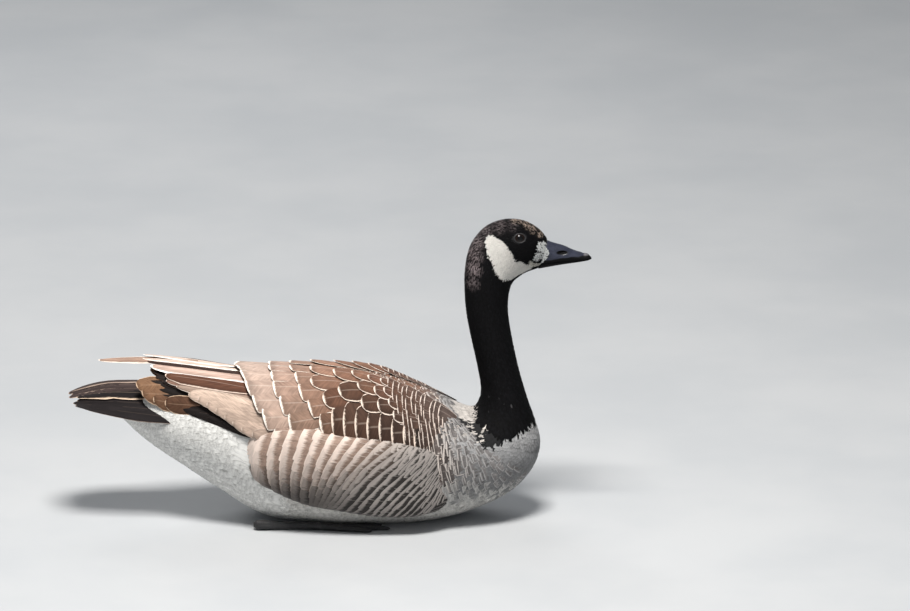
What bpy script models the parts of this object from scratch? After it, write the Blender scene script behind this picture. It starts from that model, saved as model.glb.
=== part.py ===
"""A Canada goose at life size, sitting on its belly with its feet tucked under, neck upright, wings folded.

Metres, +Z up, head towards +X, the bird's right side towards -Y. The origin is at the middle of the
overall box, on the floor. The flesh is one loft of upright rings, parted by thin gaps into named pieces.
Wings and tail carry their feathers as overlapping vanes, rooted in the piece that they grow from.
"""

import math
from dataclasses import dataclass

import bmesh
import bpy
import numpy as np
from mathutils import Vector

# Driving sizes
GAP = 0.0004
RING_SIDES = 26
RIGHT, LEFT = -1.0, 1.0
SIDE_NAMES = {RIGHT: "right", LEFT: "left"}

PLUMAGE_BROWN = (0.30, 0.20, 0.14)
PLUMAGE_DARK = (0.045, 0.037, 0.035)
PLUMAGE_BLACK = (0.010, 0.010, 0.011)
PLUMAGE_WHITE = (0.80, 0.79, 0.76)
FLANK_BUFF = (0.50, 0.44, 0.39)
HORN_BLACK = (0.022, 0.023, 0.028)
EYE_BROWN = (0.03, 0.016, 0.010)
LEG_BLACK = (0.030, 0.030, 0.032)


@dataclass
class Ring:
    """One station of the body loft: its top and bottom points in the middle plane, and its half width."""

    top: tuple
    bottom: tuple
    half_width: float
    widest: float = 0.5  # share of the way from the top to the bottom
    bottom_power: float = 2.0


# From the tip of the undertail coverts, along the back and belly, up the neck and forward to the bill
BODY_RINGS = [
    Ring((-0.2660, 0.1460), (-0.2700, 0.1360), 0.016),
    Ring((-0.2460, 0.1580), (-0.2560, 0.1240), 0.030),
    Ring((-0.2220, 0.1770), (-0.2380, 0.1060), 0.040),
    Ring((-0.1960, 0.1800), (-0.2120, 0.0860), 0.050),
    Ring((-0.1650, 0.1820), (-0.1820, 0.0660), 0.060),
    Ring((-0.1250, 0.1840), (-0.1400, 0.0380), 0.073),
    Ring((-0.0700, 0.1870), (-0.0820, 0.0050), 0.086, 0.50, 2.2),
    Ring((0.0000, 0.1900), (-0.0050, -0.0060), 0.093, 0.52, 2.3),
    Ring((0.0550, 0.1845), (0.0620, -0.0060), 0.094, 0.52, 2.3),
    Ring((0.1050, 0.1680), (0.1250, -0.0010), 0.090, 0.50, 2.3),
    Ring((0.1380, 0.1540), (0.1800, 0.0120), 0.082, 0.48, 2.2),
    Ring((0.1580, 0.1430), (0.2280, 0.0350), 0.071, 0.48, 2.1),
    Ring((0.1710, 0.1385), (0.2550, 0.0640), 0.058),
    Ring((0.1800, 0.1400), (0.2640, 0.0940), 0.046),
    Ring((0.1865, 0.1490), (0.2580, 0.1220), 0.036),
    Ring((0.1895, 0.1660), (0.2475, 0.1530), 0.0295),
    Ring((0.1850, 0.1950), (0.2370, 0.1900), 0.0265),
    Ring((0.1775, 0.2300), (0.2285, 0.2300), 0.0255),
    Ring((0.1715, 0.2620), (0.2235, 0.2620), 0.0250),
    Ring((0.1690, 0.2920), (0.2240, 0.2870), 0.0250),
    Ring((0.1695, 0.3220), (0.2290, 0.3035), 0.0255),
    Ring((0.1765, 0.3520), (0.2380, 0.3120), 0.0260, 0.52),
    Ring((0.1940, 0.3745), (0.2460, 0.3170), 0.0260, 0.52),
    Ring((0.2180, 0.3845), (0.2520, 0.3195), 0.0250, 0.54),
    Ring((0.2430, 0.3830), (0.2565, 0.3210), 0.0220, 0.56),
    Ring((0.2620, 0.3720), (0.2595, 0.3220), 0.0180, 0.58),
    Ring((0.2730, 0.3585), (0.2620, 0.3225), 0.0140, 0.58),
]
UNDERTAIL_END, TORSO_END, NECK_END, HEAD_END = 5.4, 14.2, 20.0, 26.0
UNDERTAIL_RINGS, TORSO_RINGS, NECK_RINGS, HEAD_RINGS = 9, 17, 10, 18


@dataclass
class FlankStation:
    """One cross-section of the flank feathers' mass, an ellipse on the body's side."""

    x: float
    centre: tuple
    radii: tuple


FLANK_STATIONS = [
    FlankStation(-0.1010, (0.056, 0.096), (0.004, 0.010)),
    FlankStation(-0.0930, (0.062, 0.095), (0.013, 0.024)),
    FlankStation(-0.0700, (0.066, 0.091), (0.021, 0.037)),
    FlankStation(-0.0370, (0.074, 0.084), (0.0245, 0.045)),
    FlankStation(0.0100, (0.080, 0.077), (0.0255, 0.049)),
    FlankStation(0.0700, (0.080, 0.071), (0.0255, 0.048)),
    FlankStation(0.1150, (0.075, 0.067), (0.0225, 0.044)),
    FlankStation(0.1500, (0.060, 0.066), (0.016, 0.036)),
    FlankStation(0.1700, (0.046, 0.066), (0.010, 0.022)),
]
FLANK_SIDES = 20
FLANK_SQUARE = 0.72
FLANK_RINGS = 11

# The bill
BILL_TIP = (0.3275, 0.3345)
MANDIBLE_GAP = 0.0005
MOUTH_BASE_Z = 0.3300
MOUTH_BOW = 0.0010
BILL_DEPTH_UPPER = 0.0262
BILL_NAIL_DEPTH = 0.0042
BILL_DEPTH_LOWER = 0.0066
BILL_HALF_BASE, BILL_HALF_TIP = 0.0130, 0.0095
BILL_SIDES = 18
NOSTRIL_AT = (0.2905, 0.3440)
NOSTRIL_RADII = (0.0042, 0.0016)

# The eyes and their lids
EYE_CENTRE = (0.2370, 0.0146, 0.3640)
EYE_FACING = (0.15, 0.93, 0.33)
EYE_RADIUS = 0.0080
LID_RING_RADIUS = 0.0062
LID_THICKNESS = 0.0011
LID_RISE = 0.0062
LID_OPENING = (1.14, 0.92, 1.4)


@dataclass
class WingStation:
    """One cross-section of the folded wing's outer surface: an arc from its upper to its lower edge."""

    x: float
    top: tuple
    bottom: tuple
    bulge: float


WING_STATIONS = [
    WingStation(0.150, (0.040, 0.141), (0.077, 0.094), 0.006),
    WingStation(0.110, (0.032, 0.1640), (0.090, 0.099), 0.015),
    WingStation(0.060, (0.024, 0.1850), (0.095, 0.107), 0.023),
    WingStation(0.000, (0.014, 0.1955), (0.0955, 0.115), 0.027),
    WingStation(-0.050, (0.009, 0.1965), (0.0935, 0.121), 0.027),
    WingStation(-0.100, (0.007, 0.1960), (0.0860, 0.131), 0.024),
    WingStation(-0.150, (0.006, 0.1990), (0.068, 0.146), 0.018),
    WingStation(-0.200, (0.007, 0.2030), (0.051, 0.158), 0.012),
    WingStation(-0.250, (0.008, 0.2040), (0.040, 0.175), 0.006),
    WingStation(-0.300, (0.009, 0.2010), (0.032, 0.185), 0.003),
]
PAD_FRONT_X, PAD_THINS_X, PAD_REAR_X = 0.145, -0.075, -0.135
PAD_OUTER_LIFT = -0.0040
PAD_REAR_LIFT = -0.0095
PAD_INNER_LIFT = -0.0250
VANE_THICKNESS = 0.0009
VANE_ROLL = 0.0009
VANE_ROWS = (0.0, 0.5, 0.84, 1.0)
VANE_TIP_REACH = 0.0030
BLUNT_END = 0.42
TIER_SLOPE = 0.085
LEFT_EXTRA_REACH = 0.055

# The tail
RECTRICES_A_SIDE = 6
RECTRIX_ROWS = (0.10, 0.5, 0.9, 1.0)
RECTRIX_HALF_WIDTH = 0.150
RECTRIX_STACK = 0.0046
TAIL_ROOT_REACH = 0.34
TAIL_ROOT_DEPTH = 0.0032
TAIL_SOCKET_DEPTH = 0.0040
TAIL_ROOT_X = -0.186
TAIL_TIP_X = -0.3275
TAIL_HALF_SPREAD_ROOT = 0.034
TAIL_HALF_SPREAD_TIP = 0.046
TAIL_RIDGE_ROOT_Z, TAIL_RIDGE_TIP_Z = 0.1745, 0.1545
TAIL_EAVE_ROOT_Z, TAIL_EAVE_TIP_Z = 0.1350, 0.1545

# The legs, tucked flat under the body
LEG_Y = 0.0660
HEEL_X, TOE_JOINT_X = -0.095, -0.012
TOE_LENGTHS = (0.078, 0.088, 0.066)
TOE_ANGLES = (-0.16, 0.02, 0.20)
WEB_THICKNESS = 0.0022


def clear_scene():
    """Removes whatever the scene starts with."""
    for obj in list(bpy.data.objects):
        bpy.data.objects.remove(obj, do_unlink=True)


def new_collection(name):
    """A new collection, linked to the scene."""
    made = bpy.data.collections.new(name)
    bpy.context.scene.collection.children.link(made)
    return made


def finish(obj, colour, roughness=0.8, metallic=0.0):
    """Gives the object a plain material of its own."""
    material = bpy.data.materials.new(obj.name + "_finish")
    material.use_nodes = True
    shader = material.node_tree.nodes["Principled BSDF"]
    shader.inputs["Base Color"].default_value = (*colour, 1.0)
    shader.inputs["Roughness"].default_value = roughness
    shader.inputs["Metallic"].default_value = metallic
    obj.data.materials.clear()
    obj.data.materials.append(material)


def mesh_object(name, points, faces, collection):
    """A mesh object from points and faces, its faces turned outwards."""
    mesh = bpy.data.meshes.new(name)
    mesh.from_pydata([tuple(p) for p in points], [], faces)
    mesh.update()
    made = bpy.data.objects.new(name, mesh)
    collection.objects.link(made)
    face_outwards(made)
    return made


def face_outwards(obj):
    """Turns the faces of a closed mesh outwards."""
    bm = bmesh.new()
    bm.from_mesh(obj.data)
    bmesh.ops.recalc_face_normals(bm, faces=bm.faces)
    if bm.calc_volume(signed=True) < 0:
        bmesh.ops.reverse_faces(bm, faces=bm.faces)
    bm.to_mesh(obj.data)
    bm.free()


def smooth_row(rows, knots, at):
    """Rows of numbers read smoothly between their knots."""
    rows = np.array(rows, float)
    slopes = np.gradient(rows, knots, axis=0)
    i = int(np.clip(np.searchsorted(knots, at) - 1, 0, len(knots) - 2))
    span = knots[i + 1] - knots[i]
    s = (at - knots[i]) / span
    return (
        rows[i] * (1 + 2 * s) * (1 - s) ** 2
        + slopes[i] * span * s * (1 - s) ** 2
        + rows[i + 1] * s * s * (3 - 2 * s)
        + slopes[i + 1] * span * s * s * (s - 1)
    )


BODY_ROWS = [(*r.top, *r.bottom, r.half_width, r.widest, r.bottom_power) for r in BODY_RINGS]
BODY_KNOTS = np.arange(len(BODY_ROWS), dtype=float)
FLANK_ROWS = [(*s.centre, *s.radii) for s in FLANK_STATIONS]
FLANK_KNOTS = np.array([s.x for s in FLANK_STATIONS])
WING_ROWS = [(*s.top, *s.bottom, s.bulge) for s in WING_STATIONS]
WING_KNOTS = np.array([-s.x for s in WING_STATIONS])


def body_ring(u, grow=0.0, shift=0.0):
    """The points of the body's cross-section at station u, grown outwards and shifted along the body."""
    tx, tz, bx, bz, half, widest, power = smooth_row(BODY_ROWS, BODY_KNOTS, u)
    top, bottom = Vector((tx, 0, tz)), Vector((bx, 0, bz))
    down = (bottom - top).normalized()
    along = down.cross(Vector((0, 1, 0)))
    top, bottom = top - down * grow, bottom + down * grow
    middle = top.lerp(bottom, widest)
    points = []
    for k in range(RING_SIDES):
        c, s = math.cos(2 * math.pi * k / RING_SIDES), math.sin(2 * math.pi * k / RING_SIDES)
        reach, bend = (top - middle, 2.0) if c >= 0 else (bottom - middle, power)
        side = math.copysign(abs(s) ** (2 / bend), s) * (half + grow)
        points.append(middle + reach * abs(c) ** (2 / bend) + Vector((0, side, 0)) + along * shift)
    return points


def loft(name, rings, collection):
    """A closed solid through rings of equally many points, with flat ends."""
    count = len(rings[0])
    points = [p for ring in rings for p in ring]
    faces = [tuple(range(count))]
    for i in range(len(rings) - 1):
        for k in range(count):
            a, b = i * count + k, i * count + (k + 1) % count
            faces.append((a, b, b + count, a + count))
    last = (len(rings) - 1) * count
    faces.append(tuple(range(last, last + count)))
    return mesh_object(name, points, faces, collection)


def body_piece(name, first, last, count, collection, grow=0.0):
    """The stretch of the body loft between two stations, half a gap short at its ends unless it is grown."""
    rings = []
    for i, u in enumerate(np.linspace(first, last, count)):
        shift = (GAP / 2 - grow) * ((i == 0) - (i == count - 1))
        rings.append(body_ring(u, grow, shift))
    return loft(name, rings, collection)


def flank_mass(name, side, collection, grow=0.0):
    """The flank feathers' mass on one side of the body."""
    rings = []
    for i, x in enumerate(np.linspace(FLANK_KNOTS[0], FLANK_KNOTS[-1], FLANK_RINGS)):
        cy, cz, ry, rz = smooth_row(FLANK_ROWS, FLANK_KNOTS, x)
        end = grow * ((i == FLANK_RINGS - 1) - (i == 0))
        ring = []
        for k in range(FLANK_SIDES):
            a = 2 * math.pi * k / FLANK_SIDES
            c, s = math.cos(a), math.sin(a)
            y = cy + (ry + grow) * math.copysign(abs(s) ** FLANK_SQUARE, s)
            z = cz + (rz + grow) * math.copysign(abs(c) ** FLANK_SQUARE, c)
            ring.append(Vector((x + end, side * y, z)))
        rings.append(ring)
    return loft(name, rings, collection)


def press_to_floor(obj):
    """Presses what is under the floor up to it, which leaves the small flat that the bird sits on."""
    for vertex in obj.data.vertices:
        vertex.co.z = max(vertex.co.z, 0.0)


def combine(obj, operation, others, solver="EXACT"):
    """Joins other closed objects to obj, or cuts them from it, and removes them."""
    group = new_collection("operands")
    for other in others:
        for owner in list(other.users_collection):
            owner.objects.unlink(other)
        group.objects.link(other)
    modifier = obj.modifiers.new("join", "BOOLEAN")
    modifier.operation = operation
    modifier.operand_type = "COLLECTION"
    modifier.collection = group
    modifier.solver = solver
    bpy.context.view_layer.update()
    graph = bpy.context.evaluated_depsgraph_get()
    result = bpy.data.meshes.new_from_object(obj.evaluated_get(graph))
    obj.modifiers.clear()
    obj.data = result
    for other in others:
        bpy.data.objects.remove(other, do_unlink=True)
    bpy.data.collections.remove(group)


def keep_largest(obj):
    """Keeps the largest closed surface of a mesh and drops loose scraps and sealed hollows."""
    bm = bmesh.new()
    bm.from_mesh(obj.data)
    bmesh.ops.triangulate(bm, faces=bm.faces)
    left, groups = set(bm.verts), []
    while left:
        stack, group = [left.pop()], []
        while stack:
            vertex = stack.pop()
            group.append(vertex)
            near = [edge.other_vert(vertex) for edge in vertex.link_edges]
            fresh = [other for other in near if other in left]
            left.difference_update(fresh)
            stack.extend(fresh)
        groups.append(group)
    groups.sort(key=len)
    bmesh.ops.delete(bm, geom=[v for group in groups[:-1] for v in group], context="VERTS")
    bm.to_mesh(obj.data)
    bm.free()


def build_flesh(collection):
    """The undertail, the torso with its flanks, the neck and the head."""
    undertail = body_piece("undertail", 0.0, UNDERTAIL_END, UNDERTAIL_RINGS, collection)
    finish(undertail, PLUMAGE_WHITE)
    torso = body_piece("torso", UNDERTAIL_END, TORSO_END, TORSO_RINGS, collection)
    combine(torso, "UNION", [flank_mass("flank", side, collection) for side in (RIGHT, LEFT)])
    press_to_floor(torso)
    keep_largest(torso)
    finish(torso, FLANK_BUFF)
    neck = body_piece("neck", TORSO_END, NECK_END, NECK_RINGS, collection)
    finish(neck, PLUMAGE_BLACK)
    head = body_piece("head", NECK_END, HEAD_END, HEAD_RINGS, collection)
    return {"undertail": undertail, "torso": torso, "neck": neck, "head": head}


def build_eyes(head, collection):
    """Both eyes, their sockets in the head and the lids round them."""
    cutters, lids = [], []
    for side in (RIGHT, LEFT):
        centre = Vector((EYE_CENTRE[0], side * EYE_CENTRE[1], EYE_CENTRE[2]))
        facing = Vector((EYE_FACING[0], side * EYE_FACING[1], EYE_FACING[2])).normalized()
        turned = facing.to_track_quat("Z", "Y").to_euler()
        ball = {"segments": 18, "ring_count": 11, "location": centre, "rotation": turned}
        bpy.ops.mesh.primitive_uv_sphere_add(radius=EYE_RADIUS, **ball)
        eye = bpy.context.object
        eye.name = "eye_" + SIDE_NAMES[side]
        move_to(eye, collection)
        finish(eye, EYE_BROWN, 0.08)
        bpy.ops.mesh.primitive_uv_sphere_add(radius=EYE_RADIUS + GAP, **ball)
        cutters.append(bpy.context.object)
        bpy.ops.mesh.primitive_torus_add(
            major_segments=22,
            minor_segments=8,
            major_radius=LID_RING_RADIUS,
            minor_radius=LID_THICKNESS,
            location=centre + facing * LID_RISE,
            rotation=turned,
        )
        lid = bpy.context.object
        lid.scale = LID_OPENING
        bpy.context.view_layer.update()
        lids.append(lid)
    combine(head, "UNION", lids)
    combine(head, "DIFFERENCE", cutters)
    keep_largest(head)
    finish(head, PLUMAGE_BLACK)


def move_to(obj, collection):
    """Moves an object into one collection."""
    for owner in list(obj.users_collection):
        owner.objects.unlink(obj)
    collection.objects.link(obj)


def bill_x(a, z):
    """How far forward a point of the bill is: a from the feathered base, which leans, to the tip."""
    base = BODY_RINGS[-1]
    share = (z - base.bottom[1]) / (base.top[1] - base.bottom[1])
    start = base.bottom[0] + (base.top[0] - base.bottom[0]) * share + GAP
    return start + (BILL_TIP[0] - start) * a


def mandible(name, lower, collection):
    """One half of the bill: rings from the feathered base to the tip, parted along the mouth line."""
    rings = []
    for a in (0.0, 0.10, 0.22, 0.36, 0.50, 0.64, 0.76, 0.86, 0.93, 0.975, 1.0):
        mouth = MOUTH_BASE_Z + (BILL_TIP[1] - MOUTH_BASE_Z) * a + MOUTH_BOW * math.sin(math.pi * a)
        end = math.sqrt(max(1 - a**6, 0.012))
        ridge = (BILL_DEPTH_UPPER * (1 - a) ** 1.35 + BILL_NAIL_DEPTH * math.sin(math.pi * a**1.4)) + 0.0012 * end
        keel = BILL_DEPTH_LOWER * (1 - a) ** 0.8 + 0.0008 * end
        half = (BILL_HALF_BASE + (BILL_HALF_TIP - BILL_HALF_BASE) * a**0.8) * end
        ring = []
        for k in range(BILL_SIDES):
            c, s = (f(2 * math.pi * k / BILL_SIDES) for f in (math.cos, math.sin))
            if lower:
                z = mouth - MANDIBLE_GAP / 2 + min(c, 0.0) * keel
                y = s * (half - 0.0007 * end)
            else:
                z = mouth + MANDIBLE_GAP / 2 + max(c, 0.0) * ridge
                y = math.copysign(abs(s) ** 0.85, s) * half
            ring.append(Vector((bill_x(a, z), y, z)))
        rings.append(ring)
    return loft(name, rings, collection)


def build_bill(collection):
    """Both halves of the bill, with the nostrils cut through the upper one."""
    upper = mandible("bill_upper", False, collection)
    x, z = NOSTRIL_AT
    bpy.ops.mesh.primitive_uv_sphere_add(segments=12, ring_count=8, radius=1.0, location=(x, 0, z))
    nostril = bpy.context.object
    nostril.scale = (NOSTRIL_RADII[0], 0.03, NOSTRIL_RADII[1])
    bpy.context.view_layer.update()
    combine(upper, "DIFFERENCE", [nostril])
    keep_largest(upper)
    finish(upper, HORN_BLACK, 0.35)
    lower = mandible("bill_lower", True, collection)
    finish(lower, HORN_BLACK, 0.4)


def wing_point(x, t, lift, side):
    """A point of the folded wing: x along the body, t from its upper edge (0) to its lower edge (1)."""
    at = float(np.clip(-x, WING_KNOTS[0], WING_KNOTS[-1]))
    ty, tz, by, bz, bulge = smooth_row(WING_ROWS, WING_KNOTS, at)
    chord = Vector((0, by - ty, bz - tz))
    out = Vector((0, -chord.z, chord.y)).normalized()
    tangent = chord + out * (4 * bulge * (1 - 2 * t))
    normal = Vector((0, -tangent.z, tangent.y)).normalized()
    point = Vector((0, ty, tz)) + chord * t + out * (4 * bulge * t * (1 - t)) + normal * lift
    return Vector((x, side * point.y, point.z))


def wing_pad(name, side, collection):
    """The wing's own mass, which its feathers are rooted in."""
    rings = []
    stations = 15
    columns = 11
    for i in range(stations):
        a = i / (stations - 1)
        x = PAD_FRONT_X + (PAD_REAR_X - PAD_FRONT_X) * a
        rear = min(max((PAD_THINS_X - x) / (PAD_THINS_X - PAD_REAR_X), 0.0), 1.0)
        over = PAD_OUTER_LIFT + (PAD_REAR_LIFT - PAD_OUTER_LIFT) * rear
        outer = [wing_point(x, k / (columns - 1), over, side) for k in range(columns)]
        inner = [wing_point(x, k / (columns - 1), PAD_INNER_LIFT, side) for k in range(columns)]
        inner = [Vector((p.x, side * max(side * p.y, 0.0015), p.z)) for p in inner]
        rings.append(outer + inner[::-1])
    return loft(name, rings, collection)


@dataclass
class Vane:
    """A tapered feather on the wing: where its tip is, its length and its half width in t."""

    tip_x: float
    tip_t: float
    length: float
    half_t: float
    tip_lift: float = 0.0
    pointed: float = 0.35
    slope: float = TIER_SLOPE
    sink: float = 0.0


def vane_outline(a, pointed):
    """The half width of a feather, as a share of its widest, a share a of the way to its tip."""
    rise = min(1.0, 0.60 + 0.9 * a)
    fall = 1.0 if a < 1 - pointed else math.sqrt(max(0.0, 1 - ((a - 1 + pointed) / pointed) ** 2))
    return rise * max(fall, BLUNT_END)


def slab(name, upper, lower, collection):
    """A thin closed plate from two like grids of points, split into triangles alike on both faces."""
    rows, columns = len(upper), len(upper[0])
    points = [p for row in upper for p in row] + [p for row in lower for p in row]
    under = rows * columns
    faces = []
    for i in range(rows - 1):
        for k in range(columns - 1):
            a, b = i * columns + k, i * columns + k + 1
            c, d = b + columns, a + columns
            pairs = ((a, b, c), (a, c, d)) if k % 2 else ((a, b, d), (b, c, d))
            for f in pairs:
                faces.append(f)
                faces.append(tuple(under + v for v in reversed(f)))
    rim = [i * columns for i in range(rows)]
    rim += [(rows - 1) * columns + k for k in range(1, columns)]
    rim += [i * columns + columns - 1 for i in range(rows - 2, -1, -1)]
    rim += [k for k in range(columns - 2, 0, -1)]
    for a, b in zip(rim, rim[1:] + rim[:1]):
        faces.append((a, b, b + under))
        faces.append((a, b + under, a + under))
    return mesh_object(name, points, faces, collection)


def wing_vane(name, vane, side, collection):
    """A feather laid on the wing, rising from its sunk root to the wing's outer surface at its tip."""
    upper, lower = [], []
    for a in VANE_ROWS:
        t = vane.tip_t
        half = vane.half_t * vane_outline(a, vane.pointed)
        lift = vane.tip_lift - vane.slope * vane.length * (1 - a) - vane.sink * (a == 0)
        for grid, above in ((upper, VANE_THICKNESS / 2), (lower, -VANE_THICKNESS / 2)):
            row = []
            for b in (-1, 0, 1):
                x = vane.tip_x + vane.length * (1 - a) - (b == 0) * (a == 1) * VANE_TIP_REACH
                share = b * half / vane.half_t
                row.append(wing_point(x, t + b * half, lift + above - VANE_ROLL * share, side))
            grid.append(row)
    return slab(name, upper, lower, collection)


@dataclass
class Tier:
    """A row of feathers side by side, its tips on a line from the wing's upper towards its lower edge."""

    name: str
    count: int
    tip_x: tuple
    tip_t: tuple
    length: float
    pointed: float = 0.35
    tip_lift: float = 0.0
    slope: float = TIER_SLOPE
    sink: float = 0.0


WING_TIERS = [
    Tier("primary", 4, (-0.236, -0.120), (0.62, 0.93), 0.120, 0.50, -0.0038, 0.02, 0.005),
    Tier("secondary", 5, (-0.203, -0.098), (0.53, 0.94), 0.110, 0.30, -0.0006, 0.028, 0.005),
    Tier("tertial", 3, (-0.233, -0.214), (0.075, 0.43), 0.130, 0.30, -0.0006, 0.028, 0.005),
    Tier("greater_covert", 7, (-0.117, -0.072), (0.075, 0.93), 0.070, 0.25),
    Tier("median_covert", 7, (-0.077, -0.040), (0.085, 0.93), 0.066, 0.30),
    Tier("lesser_covert", 6, (-0.036, -0.004), (0.090, 0.92), 0.062, 0.35),
    Tier("scapular_rear", 6, (0.006, 0.030), (0.095, 0.92), 0.058, 0.40),
    Tier("scapular_middle", 5, (0.046, 0.064), (0.11, 0.91), 0.055, 0.45),
]
TIER_OVERLAP = 0.72


def build_wing(side, collection):
    """A folded wing: its mass and the feathers that overlap on it, in tiers."""
    wing = wing_pad("wing_" + SIDE_NAMES[side], side, collection)
    vanes = []
    for tier in WING_TIERS:
        spacing = (tier.tip_t[1] - tier.tip_t[0]) / (tier.count - 1)
        for k in range(tier.count):
            a = k / (tier.count - 1)
            tip_x = tier.tip_x[0] + (tier.tip_x[1] - tier.tip_x[0]) * a
            reach = LEFT_EXTRA_REACH if side == LEFT and tier.name == "tertial" and k == 0 else 0.0
            vane = Vane(
                tip_x - reach,
                tier.tip_t[0] + spacing * k,
                tier.length + reach,
                TIER_OVERLAP * spacing,
                tier.tip_lift,
                tier.pointed,
                tier.slope,
                tier.sink,
            )
            vanes.append(wing_vane(f"{tier.name}_{k}", vane, side, collection))
    combine(wing, "UNION", vanes)
    keep_largest(wing)
    return wing


def part_from_body(obj, collection):
    """Cuts an object clear of the undertail, the torso and the flanks, with a gap."""
    cutters = [body_piece("near", 0.0, UNDERTAIL_END, UNDERTAIL_RINGS, collection, GAP)]
    cutters.append(body_piece("near", UNDERTAIL_END, TORSO_END, TORSO_RINGS, collection, GAP))
    cutters += [flank_mass("near", side, collection, GAP) for side in (RIGHT, LEFT)]
    for cutter in cutters:
        combine(obj, "DIFFERENCE", [cutter])
    keep_largest(obj)


def cut_wing(wing, collection):
    """Parts the wing from the body that it lies on."""
    part_from_body(wing, collection)
    finish(wing, PLUMAGE_BROWN)


def tail_point(s, a, lift):
    """A point of the tail's roof: s from its ridge (0) to its eave (1 or -1), a from root to tip."""
    side = abs(s)
    half = TAIL_HALF_SPREAD_ROOT + (TAIL_HALF_SPREAD_TIP - TAIL_HALF_SPREAD_ROOT) * math.sin(a * math.pi / 2)
    x = TAIL_ROOT_X + (TAIL_TIP_X + 0.026 * side**2 - TAIL_ROOT_X) * a
    ridge = TAIL_RIDGE_ROOT_Z + (TAIL_RIDGE_TIP_Z - TAIL_RIDGE_ROOT_Z) * a
    eave = TAIL_EAVE_ROOT_Z + (TAIL_EAVE_TIP_Z - TAIL_EAVE_ROOT_Z) * a
    z = ridge + (eave - ridge) * side**1.3
    return Vector((x, s * half, z + lift))


def build_tail(collection):
    """The tail: a roof-shaped root and its overlapping rectrices."""
    columns = 9
    span = [2 * k / (columns - 1) - 1 for k in range(columns)]
    rings = []
    for a in np.linspace(0, TAIL_ROOT_REACH, 6):
        thick = TAIL_ROOT_DEPTH * (1 - 0.6 * a)
        over = [tail_point(s, a, thick) for s in span]
        below = [tail_point(s, a, -thick) for s in span]
        rings.append(over + below[::-1])
    tail = loft("tail", rings, collection)
    vanes = []
    n = RECTRICES_A_SIDE
    for side in (RIGHT, LEFT):
        for k in range(n):
            s = (k + 0.55) / n
            lift = RECTRIX_STACK * (0.5 - k / (n - 1))
            upper, lower = [], []
            for a in RECTRIX_ROWS:
                half = RECTRIX_HALF_WIDTH * vane_outline(a, 0.25)
                for grid, above in ((upper, VANE_THICKNESS / 2), (lower, -VANE_THICKNESS / 2)):
                    row = []
                    for b in (-1, 0, 1):
                        at = min(max(s + b * half, 0.008), 1.1)
                        along = a - (b != 0) * (a == 1) * 0.02
                        row.append(tail_point(side * at, along, lift + above - VANE_ROLL * b))
                    grid.append(row)
            vanes.append(slab(f"rectrix_{k}", upper, lower, collection))
    combine(tail, "UNION", vanes)
    keep_largest(tail)
    finish(tail, PLUMAGE_DARK)


def cut_tail_socket(undertail, collection):
    """Opens the slot that the tail's root sits in."""
    columns = 9
    span = [1.13 * (2 * k / (columns - 1) - 1) for k in range(columns)]
    rings = []
    for a in np.linspace(-0.01, 0.75, 7):
        over = [tail_point(s, a, TAIL_SOCKET_DEPTH) for s in span]
        below = [tail_point(s, a, -TAIL_SOCKET_DEPTH - 0.003 * max(a, 0)) for s in span]
        rings.append(over + below[::-1])
    combine(undertail, "DIFFERENCE", [loft("socket", rings, collection)])
    keep_largest(undertail)
    finish(undertail, PLUMAGE_WHITE)


def rod(name, path, radii, collection, sides=10, floor=0.0):
    """A solid of round sections along a path, pressed to the floor where it would be under it."""
    rings = []
    for i, (place, radius) in enumerate(zip(path, radii)):
        ahead = path[min(i + 1, len(path) - 1)] - path[max(i - 1, 0)]
        along = ahead.normalized()
        across = along.cross(Vector((0, 0, 1))).normalized()
        up = across.cross(along)
        ring = []
        for k in range(sides):
            angle = 2 * math.pi * k / sides
            point = place + across * (radius * math.cos(angle)) + up * (radius * math.sin(angle))
            point.z = max(point.z, floor)
            ring.append(point)
        rings.append(ring)
    return loft(name, rings, collection)


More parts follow.
